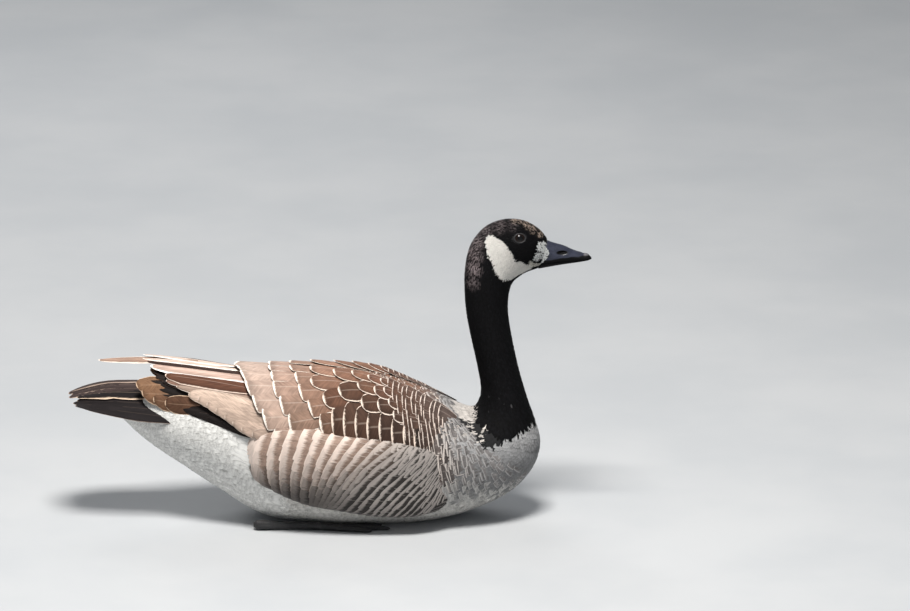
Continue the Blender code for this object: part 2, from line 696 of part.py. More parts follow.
def build_leg(side, collection):
    """A leg folded flat: the tarsus along the floor, the webbed toes forward of it."""
    heel = Vector((HEEL_X, side * LEG_Y, 0.0068))
    joint = Vector((TOE_JOINT_X, side * LEG_Y, 0.0048))
    path = [heel.lerp(joint, a) for a in (0.0, 0.05, 0.15, 0.4, 0.7, 0.93, 1.0, 1.06)]
    radii = [0.0030, 0.0060, 0.0066, 0.0050, 0.0044, 0.0050, 0.0054, 0.0030]
    leg = rod("leg_" + SIDE_NAMES[side], path, radii, collection)
    pieces = []
    tips = []
    for number, (length, angle) in enumerate(zip(TOE_LENGTHS, TOE_ANGLES)):
        turn = side * angle
        start = joint + Vector((-0.002, 0, -0.0006))
        tip = joint + Vector((length * math.cos(turn), length * math.sin(turn), 0))
        tip.z = 0.0024
        tips.append(tip)
        shares = (0.0, 0.12, 0.36, 0.42, 0.66, 0.72, 0.90, 0.96, 1.0)
        sizes = (0.0042, 0.0046, 0.0036, 0.0040, 0.0031, 0.0034, 0.0028, 0.0022, 0.0008)
        toe_path = [start.lerp(tip, a) for a in shares]
        pieces.append(rod(f"toe_{number}", toe_path, sizes, collection, 8))
    hind = [joint + Vector((-0.006, side * -0.004, 0)), joint + Vector((-0.022, side * -0.0115, -0.0022))]
    hind_path = [hind[0].lerp(hind[1], a) for a in (0, 0.5, 1)]
    pieces.append(rod("toe_hind", hind_path, (0.0028, 0.0024, 0.0010), collection, 8))
    for number in (0, 1):
        a, b = tips[number], tips[number + 1]
        corner = joint + Vector((0.002, 0, 0))
        rows_upper, rows_lower = [], []
        for share in (0.0, 0.35, 0.65, 0.88):
            ends = [corner.lerp(a, share), corner.lerp(b, share)]
            middle = (ends[0] + ends[1]) / 2
            middle.x -= 0.010 * share**2
            row = [ends[0], middle, ends[1]]
            rows_upper.append([Vector((p.x, p.y, 0.0003 + WEB_THICKNESS)) for p in row])
            rows_lower.append([Vector((p.x, p.y, 0.0003)) for p in row])
        pieces.append(slab(f"web_{number}", rows_upper, rows_lower, collection))
    combine(leg, "UNION", pieces)
    part_from_body(leg, collection)
    finish(leg, LEG_BLACK, 0.6)


def main():
    clear_scene()
    goose = new_collection("canada_goose")
    flesh = build_flesh(goose)
    build_eyes(flesh["head"], goose)
    build_bill(goose)
    build_tail(goose)
    cut_tail_socket(flesh["undertail"], goose)
    for side in (RIGHT, LEFT):
        cut_wing(build_wing(side, goose), goose)
        build_leg(side, goose)


main()
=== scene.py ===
"""The looks of a life-size Canada goose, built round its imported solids.

Metres, +Z up, head towards +X, the bird's right side towards the camera at -Y. One skin stands for the
flesh. Feathers are thin closed vanes in joined meshes, each rooted on the smooth surface that it covers.
"""

from __future__ import annotations

import logging
import math
from dataclasses import dataclass, fields
from enum import Enum
from typing import Any, Callable

import bmesh
import bpy
import numpy as np
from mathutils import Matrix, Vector

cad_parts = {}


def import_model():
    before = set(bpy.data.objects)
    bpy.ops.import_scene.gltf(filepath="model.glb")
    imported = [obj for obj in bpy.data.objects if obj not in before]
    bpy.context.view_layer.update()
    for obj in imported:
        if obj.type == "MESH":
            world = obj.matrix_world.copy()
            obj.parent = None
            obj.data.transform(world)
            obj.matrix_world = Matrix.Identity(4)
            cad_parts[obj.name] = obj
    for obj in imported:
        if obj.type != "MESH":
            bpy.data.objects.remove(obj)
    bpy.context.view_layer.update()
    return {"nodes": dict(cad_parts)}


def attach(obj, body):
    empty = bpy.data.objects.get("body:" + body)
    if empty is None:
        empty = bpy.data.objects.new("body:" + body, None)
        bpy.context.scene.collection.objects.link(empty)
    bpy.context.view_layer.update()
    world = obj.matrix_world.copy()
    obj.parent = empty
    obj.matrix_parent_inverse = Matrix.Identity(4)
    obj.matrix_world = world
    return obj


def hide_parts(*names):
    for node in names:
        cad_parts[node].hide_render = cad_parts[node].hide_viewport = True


logging.basicConfig(level=logging.INFO, format="%(message)s")
LOG = logging.getLogger("goose")
Array = np.ndarray
Colour = tuple[float, float, float]
Socket, Material, Piece = bpy.types.NodeSocket, bpy.types.Material, bpy.types.Object
SEED = 20
WHITE = (1.0, 1.0, 1.0)


class Draws(Enum):
    """What each stream of random numbers is for, by its distance from the seed."""

    SKIN = 0
    BODY = 1
    FLANK_LEFT = 3
    FLANK_RIGHT = 4
    SHOULDERS = 5
    WING = 7
    TAIL = 9
    LORE = 11

    def stream(self) -> np.random.Generator:
        """The stream from its start."""
        return np.random.default_rng(SEED + self.value)


class Side(Enum):
    """The bird's two sides, by the sign of Y."""

    RIGHT = -1.0
    LEFT = 1.0

    @property
    def word(self) -> str:
        """The side's name in lower case."""
        return self.name.lower()


def shade(red: int, green: int, blue: int) -> Colour:
    """A linear colour from 0-255 display values.

    Args:
        red: Display red.
        green: Display green.
        blue: Display blue.

    Returns:
        The linear colour.
    """
    return tuple(((v / 255 + 0.055) / 1.055) ** 2.4 if v > 10 else v / 255 / 12.92 for v in (red, green, blue))


# Smooth tables and surfaces


def smooth_rows(rows: Array, knots: Array, at: Array) -> Array:
    """Rows of numbers read smoothly between their knots, and on straight lines beyond them.

    Args:
        rows: One row of numbers for each knot.
        knots: Rising knot values.
        at: Where to read.

    Returns:
        An array of one row for each value of at.
    """
    slopes = np.gradient(rows, knots, axis=0)
    at = np.asarray(at, float)
    inside = np.clip(at, knots[0], knots[-1])
    i = np.clip(np.searchsorted(knots, inside) - 1, 0, len(knots) - 2)
    span = (knots[i + 1] - knots[i])[..., None]
    s = (inside - knots[i])[..., None] / span
    value = (
        rows[i] * (1 + 2 * s) * (1 - s) ** 2
        + slopes[i] * span * s * (1 - s) ** 2
        + rows[i + 1] * s * s * (3 - 2 * s)
        + slopes[i + 1] * span * s * s * (s - 1)
    )
    edge = np.where(at < knots[0], 0, len(knots) - 1)
    return value + slopes[edge] * (at - inside)[..., None]


def step(low: float, high: float, at: Array) -> Array:
    """A smooth step from 0 at low to 1 at high, where high may be the smaller."""
    s = np.clip((np.asarray(at, float) - low) / (high - low), 0, 1)
    return s * s * (3 - 2 * s)


def signed_power(base: Array, power: Array | float) -> Array:
    """The power of a number's size, with its sign kept."""
    return np.sign(base) * np.abs(base) ** power


def unit(vectors: Array) -> Array:
    """Vectors at length one."""
    return vectors / np.linalg.norm(vectors, axis=-1, keepdims=True)


def between(low: Colour | Array, high: Colour | Array, share: Array | float) -> Array:
    """A mix of two colours, the first at share 0."""
    return np.asarray(low) * (1 - share) + np.asarray(high) * share


class Surface:
    """A smooth surface read by two numbers, p along the bird and q round it."""

    outward = 1.0
    # steps in p and q over which the directions are measured
    small = 1e-3
    small_turn = 1e-3

    def point(self, p: Array, q: Array, lift: Array | float = 0.0) -> Array:
        """The place of (p, q), lifted off the surface."""
        raise NotImplementedError

    def unwrap(self, p: Array, q: Array) -> Array:
        """The place of (p, q) on a flat map of the surface, 0 to 1 each way."""
        raise NotImplementedError

    def frame(self, p: Array, q: Array) -> tuple[Array, Array, Array]:
        """The surface's directions at (p, q).

        Args:
            p: Stations along.
            q: Places round.

        Returns:
            The change of place with p, the change with q, and the unit normal facing out.
        """
        small, turn = self.small, self.small_turn
        along = (self.point(p + small, q) - self.point(p - small, q)) / (2 * small)
        across = (self.point(p, q + turn) - self.point(p, q - turn)) / (2 * turn)
        return along, across, unit(np.cross(along, across) * self.outward)


@dataclass
class BodySurface(Surface):
    """The body from undertail coverts (p = 0) to bill (p = 26); q turns once from the back."""

    small = 0.05
    last: float = 26.0
    # top x, top z, bottom x, bottom z, half width, where it is widest, bottom power
    stations: tuple = (
        (-0.2660, 0.1460, -0.2700, 0.1360, 0.016, 0.5, 2.0),
        (-0.2460, 0.1580, -0.2560, 0.1240, 0.030, 0.5, 2.0),
        (-0.2220, 0.1770, -0.2380, 0.1060, 0.040, 0.5, 2.0),
        (-0.1960, 0.1800, -0.2120, 0.0860, 0.050, 0.5, 2.0),
        (-0.1650, 0.1820, -0.1820, 0.0660, 0.060, 0.5, 2.0),
        (-0.1250, 0.1840, -0.1400, 0.0380, 0.073, 0.5, 2.0),
        (-0.0700, 0.1870, -0.0820, 0.0050, 0.086, 0.5, 2.2),
        (0.0000, 0.1900, -0.0050, -0.0060, 0.093, 0.52, 2.3),
        (0.0550, 0.1845, 0.0620, -0.0060, 0.094, 0.52, 2.3),
        (0.1050, 0.1680, 0.1250, -0.0010, 0.090, 0.50, 2.3),
        (0.1380, 0.1540, 0.1800, 0.0120, 0.082, 0.48, 2.2),
        (0.1580, 0.1430, 0.2280, 0.0350, 0.071, 0.48, 2.1),
        (0.1710, 0.1385, 0.2550, 0.0640, 0.058, 0.5, 2.0),
        (0.1800, 0.1400, 0.2640, 0.0940, 0.046, 0.5, 2.0),
        (0.1865, 0.1490, 0.2580, 0.1220, 0.036, 0.5, 2.0),
        (0.1895, 0.1660, 0.2475, 0.1530, 0.0295, 0.5, 2.0),
        (0.1850, 0.1950, 0.2370, 0.1900, 0.0265, 0.5, 2.0),
        (0.1775, 0.2300, 0.2285, 0.2300, 0.0255, 0.5, 2.0),
        (0.1715, 0.2620, 0.2235, 0.2620, 0.0250, 0.5, 2.0),
        (0.1690, 0.2920, 0.2240, 0.2870, 0.0250, 0.5, 2.0),
        (0.1695, 0.3220, 0.2290, 0.3035, 0.0255, 0.5, 2.0),
        (0.1765, 0.3520, 0.2380, 0.3120, 0.0260, 0.52, 2.0),
        (0.1940, 0.3745, 0.2460, 0.3170, 0.0260, 0.52, 2.0),
        (0.2180, 0.3845, 0.2520, 0.3195, 0.0250, 0.54, 2.0),
        (0.2430, 0.3830, 0.2565, 0.3210, 0.0220, 0.56, 2.0),
        (0.2620, 0.3720, 0.2595, 0.3220, 0.0180, 0.58, 2.0),
        (0.2730, 0.3585, 0.2620, 0.3225, 0.0140, 0.58, 2.0),
    )

    def point(self, p: Array, q: Array, lift: Array | float = 0.0) -> Array:
        """The place of (p, q), lifted off the surface and never under the floor.

        Args:
            p: Stations along.
            q: Places round or across.
            lift: How far off the surface.

        Returns:
            Places.
        """
        p, q, lift = np.broadcast_arrays(np.asarray(p, float), q, lift)
        row = smooth_rows(np.array(self.stations), np.arange(self.last + 1), p)
        top, bottom = row[..., 0:2], row[..., 2:4]
        half, widest, power = (row[..., k] for k in (4, 5, 6))
        down = unit(bottom - top)
        top, bottom = top - down * lift[..., None], bottom + down * lift[..., None]
        middle = top + (bottom - top) * widest[..., None]
        c, s = np.cos(2 * np.pi * q), np.sin(2 * np.pi * q)
        upper = c >= 0
        bend = 2 / np.where(upper, 2.0, power)
        reach = np.where(upper[..., None], top - middle, bottom - middle)
        place = middle + reach * (np.abs(c) ** bend)[..., None]
        y = signed_power(s, bend) * (np.maximum(half, 0.004) + lift)
        return np.stack([place[..., 0], y, np.maximum(place[..., 1], 0.0003)], axis=-1)

    def unwrap(self, p: Array, q: Array) -> Array:
        """Stations along U and the turn round the body along V."""
        return np.stack([0.02 + 0.96 * p / self.last, 0.02 + 0.96 * np.mod(q, 1.0)], axis=-1)


@dataclass
class FlankSurface(Surface):
    """The flank feathers' mass on one side: p is x, and q turns once from the top, outwards first."""

    side: Side
    # x, centre y, centre z, half width, half height
    stations: tuple = (
        (-0.1012, 0.0720, 0.1010, 0.0080, 0.017),
        (-0.0960, 0.0710, 0.1000, 0.0150, 0.027),
        (-0.0880, 0.0710, 0.0990, 0.0190, 0.034),
        (-0.0700, 0.0725, 0.0970, 0.0235, 0.042),
        (-0.0370, 0.0765, 0.0910, 0.0255, 0.050),
        (0.0100, 0.0800, 0.0830, 0.0262, 0.051),
        (0.0700, 0.0800, 0.0745, 0.0258, 0.051),
        (0.1150, 0.0755, 0.0690, 0.0228, 0.045),
        (0.1500, 0.0600, 0.0660, 0.0160, 0.036),
        (0.1700, 0.0460, 0.0660, 0.0100, 0.022),
    )
    square: float = 0.62

    def __post_init__(self) -> None:
        """Sets which way the normal faces, and spaces the turn evenly round the section."""
        self.outward = self.side.value
        turn = 2 * np.pi * np.linspace(0, 1, 4001)
        self.high, self.wide = (signed_power(v, self.square) for v in (np.cos(turn), np.sin(turn)))
        steps = np.hypot(np.diff(self.wide), 1.9 * np.diff(self.high))
        self.round = np.concatenate([[0], np.cumsum(steps)]) / steps.sum()

    def sizes(self, x: Array) -> Array:
        """The centre and radii at x.

        Args:
            x: Where along the flank.

        Returns:
            Centre y, centre z, half width and half height.
        """
        table = np.array(self.stations)
        row = smooth_rows(table[:, 1:], table[:, 0], x)
        row[..., 2:] = np.maximum(row[..., 2:], 0.001)
        return row

    def point(self, p: Array, q: Array, lift: Array | float = 0.0) -> Array:
        """The place of (p, q), lifted off the surface.

        Args:
            p: Stations along.
            q: Places round or across.
            lift: How far off the surface.

        Returns:
            Places.
        """
        p, q, lift = np.broadcast_arrays(np.asarray(p, float), q, lift)
        row = self.sizes(p)
        turn = np.mod(q, 1.0)
        y = row[..., 0] + (row[..., 2] + lift) * np.interp(turn, self.round, self.wide)
        z = row[..., 1] + (row[..., 3] + lift) * np.interp(turn, self.round, self.high)
        return np.stack([p, self.side.value * y, z], axis=-1)

    def unwrap(self, p: Array, q: Array) -> Array:
        """The length along U and the turn along V."""
        along = np.clip(0.05 + 0.9 * (p + 0.12) / 0.32, 0.01, 0.98)
        return np.stack([along, 0.02 + 0.96 * np.mod(q, 1.0)], axis=-1)

    def holds(self, place: Array, inset: float) -> Array:
        """Whether places lie inside the mass, an inset under its surface.

        Args:
            place: Places in metres.
            inset: How far under the surface counts as inside.

        Returns:
            True for each place inside.
        """
        row = self.sizes(place[..., 0])
        power = 2 / self.square
        y = np.abs(place[..., 1] * self.side.value - row[..., 0]) / np.maximum(row[..., 2] - inset, 0.001)
        z = np.abs(place[..., 2] - row[..., 1]) / np.maximum(row[..., 3] - inset, 0.001)
        ends = (place[..., 0] > self.stations[0][0]) & (place[..., 0] < self.stations[-1][0])
        return (y**power + z**power < 1) & ends


@dataclass
class WingSurface(Surface):
    """The folded wing's outer side: p is x, and q goes from its upper edge (0) to its lower edge (1)."""

    side: Side
    # how much flatter the far wing lies, as the back's outline is low there
    flat: float = 0.33
    # x, upper edge y and z, lower edge y and z, bulge
    stations: tuple = (
        (0.150, 0.040, 0.141, 0.077, 0.094, 0.006),
        (0.110, 0.032, 0.1640, 0.090, 0.099, 0.015),
        (0.060, 0.024, 0.1850, 0.095, 0.107, 0.023),
        (0.000, 0.014, 0.1955, 0.0955, 0.115, 0.027),
        (-0.050, 0.009, 0.1965, 0.0935, 0.121, 0.027),
        (-0.100, 0.007, 0.1960, 0.0860, 0.131, 0.024),
        (-0.150, 0.006, 0.1990, 0.068, 0.146, 0.018),
        (-0.200, 0.007, 0.2030, 0.051, 0.158, 0.012),
        (-0.250, 0.008, 0.2040, 0.040, 0.175, 0.006),
        (-0.300, 0.009, 0.2010, 0.032, 0.185, 0.003),
    )

    def __post_init__(self) -> None:
        """Sets which way the normal faces."""
        self.outward = self.side.value

    def edges(self, x: Array) -> Array:
        """The edges and the bulge at x.

        Args:
            x: Where along the wing.

        Returns:
            Upper y and z, lower y and z, and the bulge.
        """
        table = np.array(self.stations)[::-1]
        row = smooth_rows(table[:, 1:], table[:, 0], np.clip(x, -0.33, 0.165))
        if self.side is Side.LEFT:
            row[..., 4] = row[..., 4] * (1 - self.flat * step(-0.18, -0.12, x) * step(0.07, 0.0, x))
        return row

    def point(self, p: Array, q: Array, lift: Array | float = 0.0) -> Array:
        """The place of (p, q), lifted along the surface's own normal.

        Args:
            p: Stations along.
            q: Places round or across.
            lift: How far off the surface.

        Returns:
            Places.
        """
        p, q, lift = np.broadcast_arrays(np.asarray(p, float), q, lift)
        row = self.edges(p)
        chord = row[..., 2:4] - row[..., 0:2]
        out = unit(np.stack([-chord[..., 1], chord[..., 0]], axis=-1))
        bulge, t = row[..., 4:5], q[..., None]
        tangent = chord + out * (4 * bulge * (1 - 2 * t))
        normal = unit(np.stack([-tangent[..., 1], tangent[..., 0]], axis=-1))
        place = row[..., 0:2] + chord * t + out * (4 * bulge * t * (1 - t)) + normal * lift[..., None]
        return np.stack([p, self.side.value * place[..., 0], place[..., 1]], axis=-1)

    def unwrap(self, p: Array, q: Array) -> Array:
        """The length along U and the chord along V."""
        along = np.clip(0.04 + 0.92 * (p + 0.33) / 0.5, 0.01, 0.98)
        return np.stack([along, np.clip(0.1 + 0.8 * q, 0.01, 0.98)], axis=-1)


@dataclass
class RidgeSurface(Surface):
    """The ridge over the folded wings' rear, tilted to the right: p is x, and q is y."""

    tilt: float = 0.50
    # x, height of the ridge
    heights: tuple = ((-0.300, 0.1975), (-0.260, 0.1982), (-0.200, 0.1985), (-0.140, 0.1960), (-0.080, 0.1920))

    def point(self, p: Array, q: Array, lift: Array | float = 0.0) -> Array:
        """The place of (p, q), lifted straight up.

        Args:
            p: Stations along.
            q: Places round or across.
            lift: How far off the surface.

        Returns:
            Places.
        """
        p, q, lift = np.broadcast_arrays(np.asarray(p, float), q, lift)
        table = np.array(self.heights)
        ridge = smooth_rows(table[:, 1:], table[:, 0], p)[..., 0]
        return np.stack([p, q, ridge + self.tilt * q + lift], axis=-1)

    def unwrap(self, p: Array, q: Array) -> Array:
        """The length along U and the width along V."""
        return np.stack([np.clip((p + 0.33) / 0.5, 0.01, 0.98), np.full(np.shape(p), 0.03)], axis=-1)


@dataclass
class TailSurface(Surface):
    """The closed tail's roof: p from its root (0) to its tip (1), q from eave to eave (-1 to 1)."""

    root_x: float = -0.186
    tip_x: float = -0.3275
    # share of the length, height of the ridge
    ridge: tuple = ((0.0, 0.1745), (0.38, 0.1722), (0.71, 0.1688), (0.87, 0.1625), (1.0, 0.1545))

    def point(self, p: Array, q: Array, lift: Array | float = 0.0) -> Array:
        """The place of (p, q), lifted straight up.

        Args:
            p: Stations along.
            q: Places round or across.
            lift: How far off the surface.

        Returns:
            Places.
        """
        p, q, lift = np.broadcast_arrays(np.asarray(p, float), q, lift)
        side = np.abs(q)
        half = 0.0520 - 0.0060 * p
        x = self.root_x + (self.tip_x + np.where(q < 0, 0.008, 0.034) * side**2 - self.root_x) * p
        table = np.array(self.ridge)
        ridge = smooth_rows(table[:, 1:], table[:, 0], p)[..., 0]
        eave = np.where(q < 0, 0.1365 + 0.0205 * p, ridge - 0.008 - 0.026 * (1 - p))
        z = ridge + (eave - ridge) * side**1.6
        return np.stack([x, q * half + np.sign(q) * 0.8 * side * lift, z + lift * (1 - 0.4 * side)], axis=-1)

    def unwrap(self, p: Array, q: Array) -> Array:
        """Root to tip along U and eave to eave along V."""
        return np.stack([0.08 + 0.84 * np.clip(p, 0, 1), 0.5 + 0.42 * q / 1.1], axis=-1)


# Feathers


@dataclass(frozen=True)
class VaneForm:
    """One feather's plan and section: rows along its straight part and round its tip, and columns across."""

    straight: int
    arcs: tuple[float, ...]
    columns: int
    thickness: float
    camber: float
    root_share: float = 0.6

    def plan(self, pointed: Array) -> tuple[Array, Array, Array]:
        """The feather's upper grid.

        Args:
            pointed: Share of each feather's length that its rounded tip takes.

        Returns:
            Share of the length, share of the half width, and place across from -1 to 1, one row a feather.
        """
        p = np.asarray(pointed, float)[:, None]
        across = np.linspace(-1, 1, self.columns)
        along, wide = [], []
        for k in range(self.straight + 1):
            a = (1 - p) * k / self.straight
            along.append(np.repeat(a, self.columns, axis=1))
            rise = np.minimum(1.0, self.root_share + (1 - self.root_share) * 2.2 * a)
            wide.append(np.repeat(rise, self.columns, axis=1))
        for angle in self.arcs:
            w = math.sin(math.radians(angle))
            # the last row follows the tip's round, the others lie straight across
            last = angle == self.arcs[-1]
            level = np.full(self.columns, math.cos(math.radians(angle)))
            bow = np.sqrt(1 - (w * across) ** 2) if last else level
            along.append(1 - p + p * bow[None, :])
            wide.append(np.full((len(p), self.columns), w))
        rows = self.straight + 1 + len(self.arcs)
        return np.concatenate(along, axis=1), np.concatenate(wide, axis=1), np.tile(across, (len(p), rows))

    def weave(self) -> tuple[Array, Array]:
        """The feather's faces.

        Returns:
            Quads over the upper grid and the lower one, and the upper corners that the lower grid copies.
        """
        rows, cols = self.straight + 1 + len(self.arcs), self.columns
        upper = np.arange(rows * cols).reshape(rows, cols)
        inner = upper[1:-1, 1:-1]
        lower = upper.copy()
        lower[1:-1, 1:-1] = rows * cols + np.arange(inner.size).reshape(inner.shape)
        top = [upper[:-1, :-1], upper[1:, :-1], upper[1:, 1:], upper[:-1, 1:]]
        under = [lower[:-1, :-1], lower[:-1, 1:], lower[1:, 1:], lower[1:, :-1]]
        quads = [np.stack(c, axis=-1).reshape(-1, 4) for c in (top, under)]
        return np.concatenate(quads), inner.ravel()


TUFT = VaneForm(1, (38.0,), 3, 0.00016, 0.00012, 0.8)
DOWN = VaneForm(2, (60.0, 30.0), 3, 0.00020, 0.0004, 0.7)
SILK = VaneForm(2, (60.0, 30.0), 3, 0.00012, 0.00012, 0.7)
FLANK = VaneForm(4, (66.0, 46.0, 26.0), 5, 0.00022, 0.0002)
COVERT = VaneForm(3, (66.0, 46.0, 26.0), 5, 0.00030, 0.0012)
FLIGHT = VaneForm(9, (70.0, 52.0, 36.0, 22.0), 7, 0.00060, 0.0010, 0.5)


@dataclass
class Feathers:
    """Feathers side by side on one surface: each value is one entry for each, or one for all."""

    form: VaneForm
    surface: Surface
    p: Array
    q: Array
    length: Array
    width: Array
    turn: Array
    pointed: Array
    root_lift: Array
    tip_lift: Array
    plume: Array
    trim: Array
    side_size: Array
    tip_size: Array
    softness: Array
    roll: Array
    skew: Array | float = 0.0
    ragged: float = 0.08
    patch: float = 0.003
    silky: bool = False

    def __post_init__(self) -> None:
        """Gives each feather its own entry where one value stands for all."""
        shape = np.shape(self.q)
        for field in fields(Feathers)[2:17]:
            own = shape + (3,) if field.name in ("plume", "trim") else shape
            setattr(self, field.name, np.broadcast_to(np.asarray(getattr(self, field.name), float), own))

    def lens(self, rng: np.random.Generator) -> tuple[Array, Array, Array, Array, Array]:
        """Each feather as an upper and a lower grid that share their rim.

        Args:
            rng: Source of the ragged edge.

        Returns:
            Share of the length, share of the half width, place across, height share (0 on the rim) and faces.
        """
        a, w, b = self.form.plan(self.pointed)
        quads, copied = self.form.weave()
        w = w * (1 + self.ragged * rng.standard_normal(w.shape) * (a > 0.5))
        h = np.zeros_like(a)
        h[:, copied] = 1.0
        a, w, b = (np.concatenate([v, v[:, copied]], axis=1) for v in (a, w, b))
        return a, w, b, np.concatenate([h, -h[:, copied]], axis=1), quads

    def shape(self, rng: np.random.Generator) -> dict[str, Array]:
        """The feathers' joined mesh, each vane laid over the surface from its root.

        Args:
            rng: Source of the small irregularities.

        Returns:
            Its places, quads, maps and attributes.
        """
        a, w, b, h, quads = self.lens(rng)
        along, across, normal = self.surface.frame(self.p, self.q)
        lie = -unit(along)
        beside = np.cross(normal, lie)
        ahead = lie * np.cos(self.turn)[:, None] + beside * np.sin(self.turn)[:, None]
        beside = np.cross(normal, ahead)
        aside = 0.5 * self.width[:, None] * w * b
        reach = self.length[:, None] * a + self.skew[:, None] * aside * a**2
        move = ahead[:, None, :] * reach[..., None] + beside[:, None, :] * aside[..., None]
        pp, pq, qq = (np.sum(u * v, axis=-1) for u, v in ((along, along), (along, across), (across, across)))
        mp, mq = np.einsum("nmk,nk->nm", move, along), np.einsum("nmk,nk->nm", move, across)
        area = (pp * qq - pq**2)[:, None]
        dp = (mp * qq[:, None] - mq * pq[:, None]) / area
        dq = (mq * pp[:, None] - mp * pq[:, None]) / area
        lift = self.root_lift[:, None] + (self.tip_lift - self.root_lift)[:, None] * a**1.15
        lift = lift + self.form.camber * (1 - b**2) * np.sin(np.pi * np.clip(a, 0, 1) * 0.8)
        lift = lift + self.form.thickness / 2 * h + self.roll[:, None] * b * w * np.minimum(1, 2.5 * a)
        p, q = self.p[:, None] + dp, self.q[:, None] + dq
        made = self.gather(self.surface.point(p, q, lift), quads, a, b, h, rng)
        if self.silky:
            made["normals"] = self.surface.frame(p, q)[2].reshape(-1, 3)
        return made

    def gather(
        self, places: Array, quads: Array, a: Array, b: Array, h: Array, rng: np.random.Generator
    ) -> dict[str, Array]:
        """Joins the feathers' places with their maps and attributes.

        Args:
            places: One row of places a feather.
            quads: One feather's faces.
            a: Share of the length.
            b: Place across.
            h: Height share, 0 on the rim.
            rng: Source of each feather's own number.

        Returns:
            The joined mesh's arrays.
        """
        count, each = a.shape
        root = self.surface.unwrap(self.p, self.q)
        local = np.stack([a - 0.5, b / 2], axis=-1) * self.patch
        sizes = (2 * self.side_size / self.width, self.tip_size / self.length)
        trim_data = np.stack([*sizes, rng.random(count), self.softness], axis=-1)
        solid = np.ones((count, 1))
        points = {
            "plume": np.concatenate([self.plume, solid], axis=1),
            "trim": np.concatenate([self.trim, solid], axis=1),
            "trim_data": trim_data,
        }
        return {
            "places": places.reshape(-1, 3),
            "rim": h.ravel() == 0.0,
            "quads": (quads[None] + (np.arange(count) * each)[:, None, None]).reshape(-1, 4),
            "facing": np.tile(np.repeat([1.0, -1.0], len(quads) // 2), count),
            "Vane": np.stack([(b + 1) / 2, a], axis=-1).reshape(-1, 2),
            "OFBake": np.clip(root[:, None] + local, 0.0, 1.0).reshape(-1, 2),
            **{key: np.repeat(value, each, axis=0) for key, value in points.items()},
        }


def joined(shapes: list[dict[str, Array]]) -> dict[str, Array]:
    """Several feather meshes as one.

    Args:
        shapes: The meshes' arrays.

    Returns:
        Their arrays end to end.
    """
    start, quads = 0, []
    for shape in shapes:
        quads.append(shape["quads"] + start)
        start += len(shape["places"])
    made = {key: np.concatenate([shape[key] for shape in shapes]) for key in shapes[0] if key != "quads"}
    return {**made, "quads": np.concatenate(quads)}


def coat_object(name: str, shape: dict[str, Array], finish: Material) -> Piece:
    """A mesh object from a joined feather mesh.

    Args:
        name: The piece's name.
        shape: Its arrays.
        finish: Its material.

    Returns:
        The object, riding on nothing yet.
    """
    mesh = bpy.data.meshes.new(name)
    mesh.from_pydata(shape["places"].tolist(), [], shape["quads"].tolist())
    corners = np.empty(len(mesh.loops), np.int32)
    mesh.loops.foreach_get("vertex_index", corners)
    for key in ("OFBake", "Vane"):
        layer = mesh.uv_layers.new(name=key)
        layer.data.foreach_set("uv", shape[key][corners].astype(np.float32).ravel())
    for key in ("plume", "trim", "trim_data"):
        attribute = mesh.attributes.new(key, "FLOAT_COLOR", "POINT")
        attribute.data.foreach_set("color", shape[key].astype(np.float32).ravel())
    mesh.polygons.foreach_set("use_smooth", np.ones(len(mesh.polygons), bool))
    ends = np.empty(len(mesh.edges) * 2, np.int32)
    mesh.edges.foreach_get("vertices", ends)
    creased = mesh.attributes.new("sharp_edge", "BOOLEAN", "EDGE")
    creased.data.foreach_set("value", shape["rim"][ends].reshape(-1, 2).all(axis=1))
    mesh.materials.append(finish)
    mesh.update()
    if "normals" in shape:
        # silky plumage is shaded as the one smooth surface that it lies on
        normals = shape["normals"][corners] * np.repeat(shape["facing"], 4)[:, None]
        mesh.normals_split_custom_set(normals.tolist())
    made = bpy.data.objects.new(name, mesh)
    bpy.context.scene.collection.objects.link(made)
    return made


def scatter(
    surface: Surface, span: tuple[float, float], spacing: Callable[[float], float], rng: np.random.Generator
) -> tuple[Array, Array, Array]:
    """Roots in staggered rows over a surface, evenly apart along its own length and width.

    Args:
        surface: What the roots are on.
        span: First and last station.
        spacing: The distance between roots at a station.
        rng: Source of the roots' small shifts.

    Returns:
        Each root's p, its q and its spacing.
    """
    loose, packed, probe = 0.28, 0.86, 0.01
    ring = np.linspace(0.0, 1.0, 97)
    p, found = span[0], []
    while p < span[1]:
        gap = spacing(p)
        places = surface.point(np.full(97, p), ring)
        edges = np.linalg.norm(np.diff(places, axis=0), axis=1)
        length = np.concatenate([[0], np.cumsum(edges)])
        count = max(3, int(round(length[-1] / gap)))
        at = (np.arange(count) + 0.5 * (len(found) % 2) + 0.25) / count * length[-1]
        at = at + rng.uniform(-loose, loose, count) * gap
        q = np.interp(np.mod(at, length[-1]), length, ring)
        ahead = np.linalg.norm(surface.point(np.full(97, p + probe), ring) - places, axis=1).mean() / probe
        shift = rng.uniform(-loose, loose, count) * gap / ahead
        found.append(np.stack([p + shift, q, np.full(count, gap)]))
        p += packed * gap / ahead
    return tuple(np.concatenate(found, axis=1))


